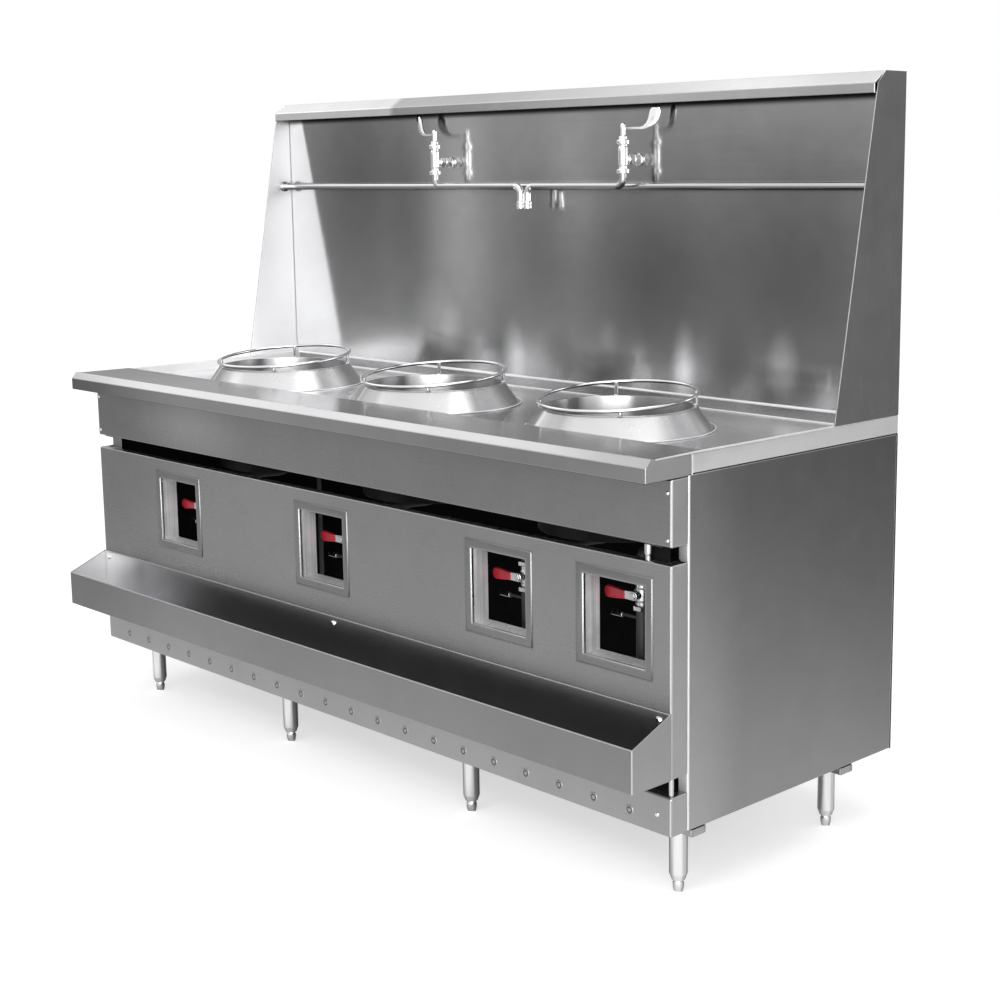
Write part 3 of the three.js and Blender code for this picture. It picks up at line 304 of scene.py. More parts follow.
class Paint:
    """Node tree of one finish; `at` is the place on the object, in metres."""

    def __init__(self, name, metallic, **fixed):
        self.mat = bpy.data.materials.new(name)
        self.mat.use_nodes = True
        self.tree = self.mat.node_tree
        self.bsdf = self.tree.nodes["Principled BSDF"]
        self.set("Metallic", metallic)
        for key, value in fixed.items():
            self.set(key.replace("_", " ").title().replace("Ior", "IOR"), value)
        self.at = self.node("ShaderNodeTexCoord").outputs["Object"]

    def node(self, kind, feeds=None, **settings):
        """New node with its settings; feeds are its sockets, by place or name, and what goes into them."""
        n = self.tree.nodes.new(kind)
        for key, value in settings.items():
            setattr(n, key, value)
        for key, value in (feeds or {}).items():
            self.feed(n.inputs[key], value)
        return n

    def feed(self, socket, value):
        if isinstance(value, bpy.types.NodeSocket):
            self.tree.links.new(value, socket)
        else:
            socket.default_value = value

    def set(self, name, value):
        """Feeds a socket of the shader."""
        self.feed(self.bsdf.inputs[name], value)

    def math(self, operation, a, b=0.0):
        return self.node("ShaderNodeMath", {0: a, 1: b}, operation=operation).outputs[0]

    def scaled(self, scale, at=None):
        return self.node("ShaderNodeVectorMath", {0: at or self.at, 1: scale}, operation="MULTIPLY").outputs[0]

    def noise(self, scale, detail=2.0, roughness=0.5, at=None):
        """Noise about 0 in waves per metre; scale is one number, or one for each direction."""
        place = self.scaled([scale] * 3 if isinstance(scale, (int, float)) else scale, at)
        feeds = {"Vector": place, "Scale": 1.0, "Detail": detail, "Roughness": roughness}
        return self.math("SUBTRACT", self.node("ShaderNodeTexNoise", feeds).outputs["Fac"], 0.5)

    def about(self, value, spread, middle=1.0):
        """middle + spread * value."""
        return self.math("ADD", self.product(value, spread), middle)

    def length(self, vector):
        return self.node("ShaderNodeVectorMath", {0: vector}, operation="LENGTH").outputs["Value"]

    def part(self, axis, vector=None):
        return self.node("ShaderNodeSeparateXYZ", {0: vector or self.at}).outputs[axis]

    def blend(self, value, low, high, a, b, smooth=True):
        """a where the value is at low, b where it is at high."""
        feeds = {"Value": value, "From Min": low, "From Max": high, "To Min": a, "To Max": b}
        kind = "SMOOTHSTEP" if smooth else "LINEAR"
        return self.node("ShaderNodeMapRange", feeds, interpolation_type=kind).outputs[0]

    def spot(self, centre, reach, gain):
        """1 away from the place, 1 + gain at it."""
        off = self.node("ShaderNodeVectorMath", {0: self.at, 1: centre}, operation="SUBTRACT").outputs[0]
        return self.blend(self.length(self.scaled([1 / r for r in reach], off)), 0.0, 1.0, 1 + gain, 1.0)

    def curve(self, value, stops):
        """Level between stops of (value, level); the levels are from 0 to 1."""
        low, high = stops[0][0], stops[-1][0]
        ramp = self.node("ShaderNodeValToRGB", {"Fac": self.blend(value, low, high, 0.0, 1.0, False)})
        elements = ramp.color_ramp.elements
        for i, (place, level) in enumerate(stops):
            if i in (0, len(stops) - 1):
                mark = elements[0 if i == 0 else -1]
            else:
                mark = elements.new((place - low) / (high - low))
            mark.color = (level, level, level, 1)
        return ramp.outputs["Color"]

    def azimuth(self):
        """Degrees round the vertical axis of the piece's own origin."""
        return self.math("MULTIPLY", self.math("ARCTAN2", self.part("Y"), self.part("X")), 180 / math.pi)

    def painted_underside_shade(self, low):
        """Painted shade: 1 on faces that look up or sideways, down to the given tone on those that look down."""
        facing_up = self.part("Z", self.node("ShaderNodeNewGeometry").outputs["Normal"])
        return self.blend(facing_up, -0.7, 0.1, low, 1.0)

    def product(self, *values):
        total = values[0]
        for v in values[1:]:
            total = self.math("MULTIPLY", total, v)
        return total

    def colour(self, base, gain, tones):
        """The base colour times the gain and times the tones, each a function of this paint."""
        total = self.product(gain, *(tone(self) for tone in tones))
        scaled = self.node("ShaderNodeVectorMath", {0: base, "Scale": total}, operation="SCALE")
        self.set("Base Color", scaled.outputs[0])

    def bump(self, height, strength, distance):
        feeds = {"Strength": strength, "Distance": distance, "Height": height}
        self.set("Normal", self.node("ShaderNodeBump", feeds).outputs["Normal"])

    def brushed_along(self, grain):
        """Highlights stretch across the grain, which runs along the given direction on the surface."""
        normal = self.node("ShaderNodeNewGeometry").outputs["Normal"]
        across = self.node("ShaderNodeVectorMath", {0: normal, 1: grain}, operation="CROSS_PRODUCT")
        self.set("Tangent", across.outputs[0])


def brushed(name, level, roughness, grain="X", stretch=0.7, clouds=0.10, lines=0.03, tones=(), metallic=1.0):
    """Stainless sheet: fine grain, cloudy polish, faint rubs, and slow changes of tone."""
    p = Paint(name, metallic, anisotropic=stretch)
    axis = "XYZ".index(grain)
    fine = p.noise([2.5 if k == axis else 160.0 for k in range(3)], 2.0, 0.6)
    cloud = p.noise(2.8, 4.0, 0.6)
    blotch = p.noise(17, 3.0, 0.6)
    gain = p.product(p.about(fine, lines), p.about(cloud, 2.4 * clouds), p.about(blotch, clouds))
    p.colour(steel(level), gain, tones)
    p.set("Roughness", p.about(fine, 0.05, p.about(blotch, 0.05, roughness)))
    p.bump(p.about(fine, 0.0012, p.noise(5, 1.0)), 0.5, 0.0006)
    p.brushed_along([float(k == axis) for k in range(3)])
    return p.mat


def spun(name, level, roughness, stretch, tones, metallic):
    """Turned metal with its marks round the vertical axis of the piece's own origin."""
    p = Paint(name, metallic, anisotropic=stretch)
    ring = p.node("ShaderNodeCombineXYZ", {"X": p.length(p.scaled((1, 1, 0))), "Z": p.part("Z")})
    fine = p.noise(900, 2.0, 0.6, ring.outputs[0])
    cloud = p.noise(9, 3.0)
    p.colour(steel(level), p.about(fine, 0.10, p.about(cloud, 0.10)), tones)
    p.set("Roughness", p.about(cloud, 0.08, roughness))
    p.bump(fine, 0.08, 0.0001)
    p.brushed_along(p.node("ShaderNodeTangent", direction_type="RADIAL", axis="Z").outputs[0])
    return p.mat


def plain_metal(name, tone, roughness, metallic=1.0, grain=60.0, uneven=0.08, bump=0.05, tones=(), **fixed):
    """Plated, cast or painted metal with small unevenness and wear."""
    p = Paint(name, metallic, **fixed)
    cloud = p.noise(grain, 4.0, 0.6)
    p.colour(tone, p.about(p.math("ADD", cloud, p.noise(grain / 8)), uneven), tones)
    p.set("Roughness", p.about(cloud, uneven * 1.4, roughness))
    p.bump(cloud, bump, 0.0004)
    return p.mat


def steel(level):
    """Grey with a trace of blue."""
    return (level, level, level * 1.01)


def shade(axis, low, high, a, b):
    """Tone that is a at one place along an axis and b at the other."""
    return lambda p: p.blend(p.part(axis), low, high, a, b)


def patch(centre, reach, gain):
    """Tone of a soft spot."""
    return lambda p: p.spot(centre, reach, gain)


def painted_round_reflection(*stops):
    """Painted reflection of turned steel: light and dark round the piece's vertical axis; stops are (degrees, level).
    """
    return lambda p: p.curve(p.azimuth(), stops)


def painted_window_shade(p):
    """Painted shade: darker in a band round each pressed window frame."""
    nearest = None
    half_x, half_z = (half * MM for half in WINDOW_HALF)
    z = p.math("SUBTRACT", p.math("ABSOLUTE", p.math("SUBTRACT", p.part("Z"), WINDOW_MID * MM)), half_z)
    for centre in WINDOW_XS:
        x = p.math("SUBTRACT", p.math("ABSOLUTE", p.math("SUBTRACT", p.part("X"), centre * MM)), half_x)
        off = p.math("MAXIMUM", x, z)
        nearest = off if nearest is None else p.math("MINIMUM", nearest, off)
    dark = 0.78
    return p.product(p.blend(nearest, 0.002, 0.006, 1.0, dark), p.blend(nearest, 0.018, 0.026, 1.0, 1 / dark))


def painted_splash_streaks(p):
    """Faint upright bands at random: painted reflection streaks."""
    return p.about(p.noise((2.9, 0.4, 0.35)), 0.12)


# Painted reflections and shade on the splash, as soft spots: x, z, width, height and gain.
SPLASH_PAINTED_SPOTS = (
    (-0.74, 1.46, 0.42, 0.6, -0.5), (-0.52, 1.32, 0.12, 0.45, -0.2), (-0.3, 1.3, 0.17, 0.8, 0.48),
    (0.0, 1.24, 0.2, 0.3, -0.25), (0.13, 1.43, 0.16, 0.28, 0.28), (0.36, 1.2, 0.3, 0.3, -0.4),
    (0.6, 1.2, 0.35, 0.4, -0.22), (0.87, 1.24, 0.36, 0.42, -0.42), (-0.1, 0.97, 0.06, 0.12, 0.9),
    (0.25, 1.02, 0.05, 0.08, 0.4), (0.36, 0.96, 0.05, 0.09, 0.6), (0.5, 0.98, 0.05, 0.14, 1.1),
    (0.8, 1.0, 0.06, 0.11, 1.2), (0.94, 0.95, 0.08, 0.09, 0.9), (-0.35, 1.03, 0.07, 0.1, 0.35),
    (-0.23, 0.96, 0.1, 0.08, 0.4), (-0.7, 0.95, 0.3, 0.12, 0.35), (0.36, 0.93, 0.15, 0.14, 0.8),
    (-0.25, 0.93, 0.12, 0.1, 0.5), (0.87, 0.93, 0.13, 0.12, 0.5), (-0.42, 1.07, 0.1, 0.12, 0.3),
    (-0.45, 0.95, 0.06, 0.08, -0.35), (0.08, 0.97, 0.08, 0.1, -0.3), (0.65, 1.0, 0.1, 0.14, -0.25),
)
# The splash's painted light: the streaks, lighter towards the foot, a painted shadow line under the cap, and the spots.
SPLASH_PAINTED_LIGHT = (
    painted_splash_streaks, shade("Z", 0.94, 1.12, 1.15, 1.0), shade("Z", 1.588, 1.602, 1.0, 0.15),
    *(patch((x, 0.37, z), (wide, 9, high), gain) for x, z, wide, high, gain in SPLASH_PAINTED_SPOTS),
)
# Painted reflection along the cap: bright at the left, a step darker at a sheet joint, lighter again towards the
# middle, and dimmer at the right end.
CAP_PAINTED_REFLECTION = (shade("X", -0.54, -0.51, 1.0, 0.55), shade("X", -0.35, 0.45, 1.0, 1.6), shade("X", 0.6, 1.05, 1.0, 0.82))
# Painted reflection and shade along the pan floor: light at the left, dark past the middle, lighter at the right.
PAN_PAINTED_STOPS = ((-1.07, 1.0), (-0.2, 1.0), (0.05, 0.6), (0.3, 0.2), (0.5, 0.3), (0.8, 0.72), (1.07, 0.72))
# Painted shade: darker towards the left end.
LEFT_END_PAINTED_SHADE = shade("X", -1.07, -0.45, 0.78, 1.0)
# Painted reflection round each collar's cone.
CONE_PAINTED_REFLECTION = painted_round_reflection(
    (-180, 0.35), (-165, 0.35), (-150, 0.5), (-135, 0.33), (-120, 0.24), (-115, 0.4), (-111, 0.9), (-106, 0.5),
    (-98, 0.4), (-88, 0.45), (-82, 0.7), (-76, 0.8), (-30, 0.8), (-22, 0.9), (-14, 0.73), (-7, 0.95), (8, 1.0),
    (15, 0.64), (22, 0.42), (38, 0.29), (60, 0.33), (98, 0.5), (108, 0.38), (120, 0.38), (127, 0.85), (160, 0.85),
    (168, 0.32), (180, 0.35),
)
# Painted reflection round each leg.
LEG_PAINTED_REFLECTION = painted_round_reflection(
    (-180, 0.6), (-150, 0.4), (-126, 0.4), (-116, 0.72), (-88, 0.76), (-76, 1.0), (-28, 1.0), (-16, 0.66), (2, 0.6),
    (16, 0.32), (50, 0.3), (90, 0.7), (130, 1.0), (180, 0.6),
)

# Painted shade: the deck is darker towards its left end.
DECK = brushed("deck_steel", 0.48, 0.18, tones=[shade("X", -1.1, -0.45, 0.42, 1.0)])
CHAMFER = brushed("chamfer_steel", 0.51, 0.2)
PAN = brushed("pan_steel", 0.98, 0.22, tones=[lambda p: p.curve(p.part("X"), PAN_PAINTED_STOPS)], metallic=0.85)
# Lighter copies of the steel that paint light: on the deck's side strips, and painted highlights on edges, beads and
# bends.
STRIP_PAINTED_LIGHT = brushed("strip_painted_light", 0.96, 0.6, "Y", 0.8, metallic=0.85)
EDGE_PAINTED_HIGHLIGHT = brushed("edge_painted_highlight", 0.98, 0.5, "Y", 0.0, metallic=0.7)
BEND_PAINTED_HIGHLIGHT = brushed("bend_painted_highlight", 0.74, 0.5, "Y", 0.0, metallic=0.7)
HEM = brushed("hem_steel", 0.5, 0.5, stretch=0.0, metallic=0.7)
RETURN = brushed("return_steel", 0.43, 0.42, "Z", lines=0.02)
# A painted highlight on the apron, left of its middle.
APRON_PAINTED_HIGHLIGHT = patch((-0.63, -0.31, 0.8), (0.36, 9, 0.11), 0.4)
FRONT = brushed("front_steel", 0.36, 0.28, lines=0.015, tones=[LEFT_END_PAINTED_SHADE, APRON_PAINTED_HIGHLIGHT])
# Painted shade round the windows.
PANEL = brushed("panel_steel", 0.41, 0.28, lines=0.015, tones=[painted_window_shade, LEFT_END_PAINTED_SHADE])
# A lighter copy of the steel on the window jambs: painted light.
JAMB_PAINTED_LIGHT = brushed("jamb_painted_light", 0.76, 0.6, "Z", 0.1, clouds=0.5, lines=0.9, metallic=0.5)
KICK = brushed("kick_steel", 0.44, 0.34, lines=0.015)
TRAY = brushed("tray_steel", 0.33, 0.24, lines=0.015, tones=[LEFT_END_PAINTED_SHADE])
# Painted light inside the tray, brightest at its left end.
TRAY_IN_PAINTED_LIGHT = brushed("tray_in_painted_light", 0.36, 0.24, tones=[patch((-1.07, -0.33, 0.36), (0.40, 9, 9), 1.6)])
TRAY_END = brushed("tray_end_steel", 0.44, 0.34, "Y")
# A lighter copy of the steel on the end plates' inner faces: painted light.
TRAY_END_IN_PAINTED_LIGHT = plain_metal("tray_end_in_painted_light", steel(0.86), 0.45, 0.55, 30.0, 0.1, 0.02)
# Painted shade: the sides are darker towards the back.
SIDE = brushed("side_steel", 0.41, 0.26, "Z", 0.5, lines=0.02, tones=[shade("Y", -0.26, -0.08, 1.0, 0.72)])
SPLASH = brushed("splash_steel", 0.42, 0.16, stretch=0.85, lines=0.015, tones=SPLASH_PAINTED_LIGHT)
SPLASH_END = brushed("splash_end_steel", 0.42, 0.26, "Z", lines=0.02)
# A lighter copy of the steel on the splash ends' inner faces: painted light, brighter towards the foot.
SPLASH_IN_PAINTED_LIGHT = brushed(
    "splash_in_painted_light", 0.80, 0.3, "Y", 0.85, clouds=0.02, tones=[shade("Z", 0.93, 1.25, 1.14, 0.92)], metallic=0.85,
)
CAP = brushed("cap_steel", 0.70, 0.26, tones=CAP_PAINTED_REFLECTION)
REAR = brushed("rear_steel", 0.46, 0.38)
# Painted shade in the groove of each kick mark.
GROOVE_SHADE = brushed("mark_groove_painted_shade", 0.16, 0.34)
CONE = spun("cone_steel", 0.95, 0.26, 0.6, [CONE_PAINTED_REFLECTION], 0.7)
# Painted shade: the insides of the sheets and the cap's underside are near black.
PAINTED_INSIDE_SHADE = plain_metal("inside_painted_shade", steel(0.012), 0.85, 0.0, 30.0, 0.4, 0.1, specular_ior_level=0.1)
# Painted shade on the wire's underside.
RING = plain_metal("ring_wire", steel(0.78), 0.12, tones=[lambda p: p.painted_underside_shade(0.15)])
DRUM = plain_metal("drum_steel", (0.022, 0.021, 0.02), 0.6, 0.4, 25.0, 0.5, 0.3)
IRON = plain_metal("cast_iron", (0.055, 0.055, 0.057), 0.62, 0.6, 220.0, 0.5, 0.5)
PIPE = plain_metal("black_pipe", (0.05, 0.05, 0.052), 0.5, 0.5, 90.0, 0.4, 0.2)
VALVE = plain_metal("valve_plate", steel(0.62), 0.24, 1.0, 120.0, 0.2, 0.1)
RED = plain_metal("lever_sleeve", (0.46, 0.012, 0.028), 0.38, 0.0, 160.0, 0.15, 0.25)
CHROME = plain_metal("tap_chrome", steel(0.90), 0.08, 1.0, 70.0, 0.05, 0.02)
POLISH = plain_metal("leg_polish", steel(0.98), 0.14, 0.85, 90.0, 0.05, 0.04, tones=[LEG_PAINTED_REFLECTION])
# Painted shade on the rail's underside.
RAIL = plain_metal("rail_polish", steel(0.60), 0.18, 1.0, 90.0, 0.08, 0.04, tones=[lambda p: p.painted_underside_shade(0.2)])

# -------------------- sheet-metal parts

# Where the deck's front rail ends, and how far its side strips reach in.
LEDGE_Y = FACE_Y + 59
STRIP_X = SIDE_X - 14.5
# A face looks along a direction when its normal has this much of it, and leans towards it from the second on.
LOOKS, LEANS = 0.7, 0.2


def facing(direction):
    """Picks the second material for faces that look along the direction."""
    way = Vector(direction)
    return lambda normal, centre: int(normal.dot(way) > LOOKS)


def end_return(normal, centre):
    """End faces of the front sheets, seen beside the cabinet's side."""
    return abs(normal.x) > LOOKS and abs(centre.x) > SIDE_X - 4


def end_bend(normal, centre):
    """Bends between the front sheets and their end faces."""
    return abs(normal.x) > LEANS and normal.y < -LEANS and abs(centre.x) > SIDE_X - 8


def deck_faces(normal, centre):
    """Underside (painted shade), ends, pan, the rail's chamfer, side strips (painted light) and the bends with painted
    highlights; the rest is the rail.
    """
    if normal.z < -0.5:
        return 2
    if end_return(normal, centre):
        return 1 if centre.y > LEDGE_Y else 4
    if normal.z > 0.9 and centre.z < PAN_FLOOR + 2:
        return 5
    sloping = LEANS < normal.z < 0.95
    if sloping and normal.y < -LEANS and centre.y < FACE_Y + 20:
        return 6
    bend = sloping and centre.y > FACE_Y + 40
    lip = normal.z > 0.9 and abs(centre.x) > STRIP_X and centre.y > FACE_Y + 40
    wall = abs(normal.x) > LOOKS and 1050 < abs(centre.x) < SIDE_X - 10 and centre.z > PAN_FLOOR
    return 3 if bend or lip or wall else 0


def valve_panel_faces(normal, centre):
    """The inside gets painted shade, the window jambs painted light and the bends painted highlights; the end faces
    have a finish of their own.
    """
    if normal.y > LOOKS or (centre.z > 700 and centre.x > 900 and centre.y > FACE_Y + 3.02):
        return 1
    if end_return(normal, centre):
        return 3
    if end_bend(normal, centre):
        return 4
    return 2 if abs(normal.y) < 0.3 and abs(centre.x) < 1040 and 460 < centre.z < 670 else 0


def front_faces(normal, centre):
    """The inside (painted shade), end faces and bends (painted highlights)."""
    return 1 if normal.y > LOOKS else 2 if end_return(normal, centre) else 3 if end_bend(normal, centre) else 0


def side_faces(way):
    """The inside (painted shade), and the bends at the front and back (painted highlights)."""
    def pick(normal, centre):
        if normal.x * way > LOOKS:
            return 1
        return 2 if abs(normal.y) > LEANS and normal.x * way < LEANS else 0

    return pick


eased("deck_top", [DECK, STRIP_PAINTED_LIGHT, PAINTED_INSIDE_SHADE, EDGE_PAINTED_HIGHLIGHT, RETURN, PAN, CHAMFER], 2.2, pick=deck_faces)
eased("apron_panel", [FRONT, PAINTED_INSIDE_SHADE, RETURN, BEND_PAINTED_HIGHLIGHT], 4.5, pick=front_faces)
eased("valve_panel", [PANEL, PAINTED_INSIDE_SHADE, JAMB_PAINTED_LIGHT, RETURN, BEND_PAINTED_HIGHLIGHT], 4.5, pick=valve_panel_faces)
eased("kick_panel", [KICK, PAINTED_INSIDE_SHADE, RETURN, BEND_PAINTED_HIGHLIGHT], 4.5, pick=front_faces)
for side, way in (("left", 1), ("right", -1)):
    eased(f"side_panel_{side}", [SIDE, PAINTED_INSIDE_SHADE, BEND_PAINTED_HIGHLIGHT], 4.5, pick=side_faces(way))
    eased(f"splash_side_{side}", [SPLASH_END, SPLASH_IN_PAINTED_LIGHT], pick=facing((way, 0, 0)))
eased("rear_panel", [REAR, PAINTED_INSIDE_SHADE], pick=facing(FRONTWARD))
eased("splash_back", [SPLASH])
eased("splash_rear", [REAR])
eased("top_cap", [CAP, PAINTED_INSIDE_SHADE], pick=facing((0, 0, -1)))
for node in ("cross_channel_front", "cross_channel_rear"):
    eased(node, [REAR])

# The tray: one folded trough with a hemmed front, rounded corners, and two end plates.
tray = Form()
back, front, floor_z, rim_z, back_z = FACE_Y - 0.3, FACE_Y - 113, 270, 360, 406
end = SIDE_X - 3.0
outer = [(back, back_z), (back, floor_z), (front, floor_z), (front, rim_z - 2)]
inner = [(front + 2, rim_z - 2), (front + 2, floor_z + 1.5), (back - 1.5, floor_z + 1.5), (back - 1.5, back_z)]
fold, lining = rounded(outer, 2.2, 3), rounded(inner, 1.0, 2)
sheet = [(x, y, z) for x in (-end, end) for y, z in fold + lining]
count, turn_at = len(fold) + len(lining), len(fold)
tray.add(sheet, [(i, i + 1, count + i + 1, count + i) for i in range(turn_at - 1)], 0)
tray.add(sheet, [(i, i + 1, count + i + 1, count + i) for i in range(turn_at, count - 1)], 1)
for y, z, radius, segments in ((front + 2.2, rim_z - 2.3, 2.2, 16), (back - 1.6, back_z - 1.7, 1.5, 12)):
    tray.tube([(-end, y, z), (end, y, z)], radius, segments, paint=4)
for side in (-1, 1):
    plate = rounded([(back, floor_z), (front + 3, floor_z), (front + 3, rim_z), (back, back_z)], 0.8, 2, True)
    middle = Vector(((back + front) / 2, floor_z + 55))
    small = [tuple(Vector(p) + (middle - Vector(p)).normalized() * 0.6) for p in plate]
    tray.rings([[(side * x, y, z) for y, z in line] for line, x in (
        (plate, SIDE_X - 1.3), (plate, SIDE_X - 0.6), (small, SIDE_X)
    )], 2)
    tray.add([(side * (SIDE_X - 1.4), y, z) for y, z in plate], [tuple(range(len(plate)))], 3)
    tray.tube([(side * end, front + 3, floor_z), (side * end, front + 3, rim_z)], 3.0, 24, paint=2)
    crest = side * (SIDE_X - 1.6)
    tray.tube([(crest, front + 3, rim_z - 1.4), (crest, back, back_z - 1.5)], 1.5, 12, paint=4)
TRAY_STEELS = [TRAY, TRAY_IN_PAINTED_LIGHT, TRAY_END, TRAY_END_IN_PAINTED_LIGHT, HEM]
piece("tray_trough", tray, TRAY_STEELS, "condiment_tray", sharp=SOFT, weighted=True)

# Weld beads: where the splash meets the deck, and round the foot of the pan, in the steel that paints highlights.
splash_foot, splash_x = SPLASH_Y - 2, 1059
beads = Form().tube([(-splash_x, splash_foot, 915), (splash_x, splash_foot, 915)], 3.2, 16)
pan_front, pan_back, pan_x, bead_z = FACE_Y + 48, SPLASH_Y - 1.2, SIDE_X - 15.2, PAN_FLOOR + 1.2
beads.tube([(-pan_x, pan_back, bead_z), (pan_x, pan_back, bead_z)], 1.8, 12)
for x in (-pan_x, pan_x):
    beads.tube([(x, pan_back, bead_z), (x, pan_front, bead_z)], 1.8, 12)
piece("weld_beads", beads, [EDGE_PAINTED_HIGHLIGHT])

# Borders pressed up round the windows: (offset, depth) from the opening's edge and the panel's face.
BORDER_PROFILE = (
    (0.2, 12.0), (0.2, 0.4), (0.8, -0.9), (2.2, -1.3), (BORDER - 2.4, -1.3), (BORDER - 0.8, -0.9), (BORDER, 0.3),
    (BORDER, 0.8), (1.6, 0.8), (1.6, 12.0),
)
half_x, half_z = WINDOW_HALF
for i, x in enumerate(WINDOW_XS, 1):
    border = Form().rings([
        [(x + u * (half_x + off), FACE_Y + depth, WINDOW_MID + v * (half_z + off)) for off, depth in BORDER_PROFILE]
        for u, v in ((-1, -1), (1, -1), (1, 1), (-1, 1))
    ], closed=True)
    left, right, low = x - half_x, x + half_x, WINDOW_MID - half_z
    shine = right + BORDER - 1.4
    # The bead along the opening's left edge is in the steel that paints a highlight.
    for paint, *ends in (
        (1, (left - 0.6, FACE_Y - 0.2, low), (left - 0.6, FACE_Y - 0.2, low + 2 * half_z)),
        (3, (left, FACE_Y - 0.2, low - 0.6), (right, FACE_Y - 0.2, low - 0.6)),
        (2, (shine, FACE_Y - 0.3, low - BORDER + 2), (shine, FACE_Y - 0.3, low + 2 * half_z + BORDER)),
    ):
        border.tube(ends, 1.9, 12, paint=paint)
    piece(f"window_border_{i}", border, [PANEL, EDGE_PAINTED_HIGHLIGHT, RETURN, HEM], sharp=50)

# -------------------- collars, rings, drums, burners

# Profiles are (radius, height), each with the radius of the round at every corner.
COLLAR_SKIN = (
    (166, -14), (168, -14), (168, 49), (173, 49), (206, 0), (217, 0), (217, 2), (209, 2), (176, 48), (173, RIM),
    (166, RIM),
)
COLLAR_ROUNDS = (0, 0, 0.8, 1, 3, 0.5, 0.8, 4, 2.2, 1.5, 1.0)
DRUM_DEPTH = DRUM_TOP - DRUM_FOOT
DRUM_SKIN = (
    (16.35, 0), (181.5, 0), (181.5, DRUM_DEPTH - 4), (197.5, DRUM_DEPTH - 4), (197.5, DRUM_DEPTH),
    (170.5, DRUM_DEPTH), (170.5, 4), (16.35, 4),
)
DRUM_ROUNDS = (0, 5, 0.5, 0.5, 0.5, 0.5, 7, 0)
BURNER_SKIN = ((0.2, 0), (58, 0), (62, 4), (62, 11), (54, 22), (20, 22), (18, 19), (0.2, 19))

for i, (x, valve_x, valve_z) in enumerate(zip(CHAMBER_XS, VALVE_XS, VALVE_ZS), 1):
    foot = (x, CHAMBER_Y, PAN_FLOOR + 0.3)
    cone = Form().lathe(rounded(COLLAR_SKIN, COLLAR_ROUNDS, closed=True), foot, 192, closed=True)
    # A bead round the foot, in the steel that paints a highlight.
    cone.lathe([(215.4 + u, 1.7 + v) for u, v in circle(10, 1.6)], foot, 160, closed=True, paint=1)
    piece(f"collar_cone_{i}", cone, [CONE, EDGE_PAINTED_HIGHLIGHT], f"collar_{i}", foot)

    rim = foot[2] + RIM
    ring = Form().rings([
        [
            (x + (RING_RADIUS + a) * u, CHAMBER_Y + (RING_RADIUS + a) * v,
             rim + RING_RISE + b + RING_TILT * (RING_RADIUS + a) * v)
            for a, b in circle(14, WIRE)
        ]
        for u, v in circle(120)
    ], closed=True)
    for u, v in arc(POST_RADIUS, 45, 315, 90):
        post_foot = (x + u, CHAMBER_Y + v, rim + 0.4)
        ring.tube([post_foot, (*post_foot[:2], rim + RING_RISE + RING_TILT * v)], WIRE, 16, ends=0.8)
        ring.lathe([(5.6, 0), (5.2, 1.0), (4.0, 2.4), (3.8, 2.6)], post_foot, 16)
    piece(f"wok_wire_{i}", ring, [RING], f"wok_ring_{i}", (x, CHAMBER_Y, rim))

    foot = (x, CHAMBER_Y, DRUM_FOOT)
    drum = Form().lathe(rounded(DRUM_SKIN, DRUM_ROUNDS, closed=True), foot, 96, closed=True)
    piece(f"drum_{i}", drum, [DRUM], f"chamber_{i}", foot)

    seat = (x, CHAMBER_Y, DRUM_FOOT + 4.3)
    jets = Form().lathe(rounded(BURNER_SKIN, 2.0, 3), seat, 64)
    for u, v in (*circle(7, 40), (0, 0)):
        at = (x + u, CHAMBER_Y + v, seat[2])
        jets.hexagon(6, at, UP, (18, 38), 0.8)
        jets.lathe([(5.2, 38), (5.2, 42), (3.6, 48), (1.7, 48), (1.7, 45), (0.1, 45)], at, 20)
    supply = [(valve_x, VALVE_Y, valve_z + 34.3), (valve_x, VALVE_Y, SUPPLY_Z), (x, CHAMBER_Y, SUPPLY_Z)]
    jets.tube(pipe_run([*supply, (x, CHAMBER_Y, seat[2] + 2)]), RISER, paint=1)
    piece(f"jet_burner_{i}", jets, [IRON, PIPE], f"burner_{i}", seat)

# -------------------- gas pipes and valves

TEE = rounded([(15, -2), (17, 14), (19, 17), (19, 30.7), (15, 30.7)], 1.5, 3)
gas = Form().tube([(-1072.2, VALVE_Y, MANIFOLD_Z), (1072.2, VALVE_Y, MANIFOLD_Z)], 16.7)
for x in VALVE_XS:
    gas.lathe(TEE, (x, VALVE_Y, MANIFOLD_Z), 28)
    for side in (-1, 1):
        gas.lathe([(16, -2), (19, 0), (19, 9), (16.8, 11)], (x + side * 17, VALVE_Y, MANIFOLD_Z), 28, (side, 0, 0))
piece("manifold_pipe", gas, [PIPE], "gas_manifold")

x = VALVE_XS[-1]
inlet = Form().tube(pipe_run([(x, VALVE_Y, 635.3), (x, VALVE_Y, INLET_Z), (x, BACK_Y, INLET_Z)]), RISER)
piece("inlet_pipe", inlet, [PIPE], "gas_inlet")

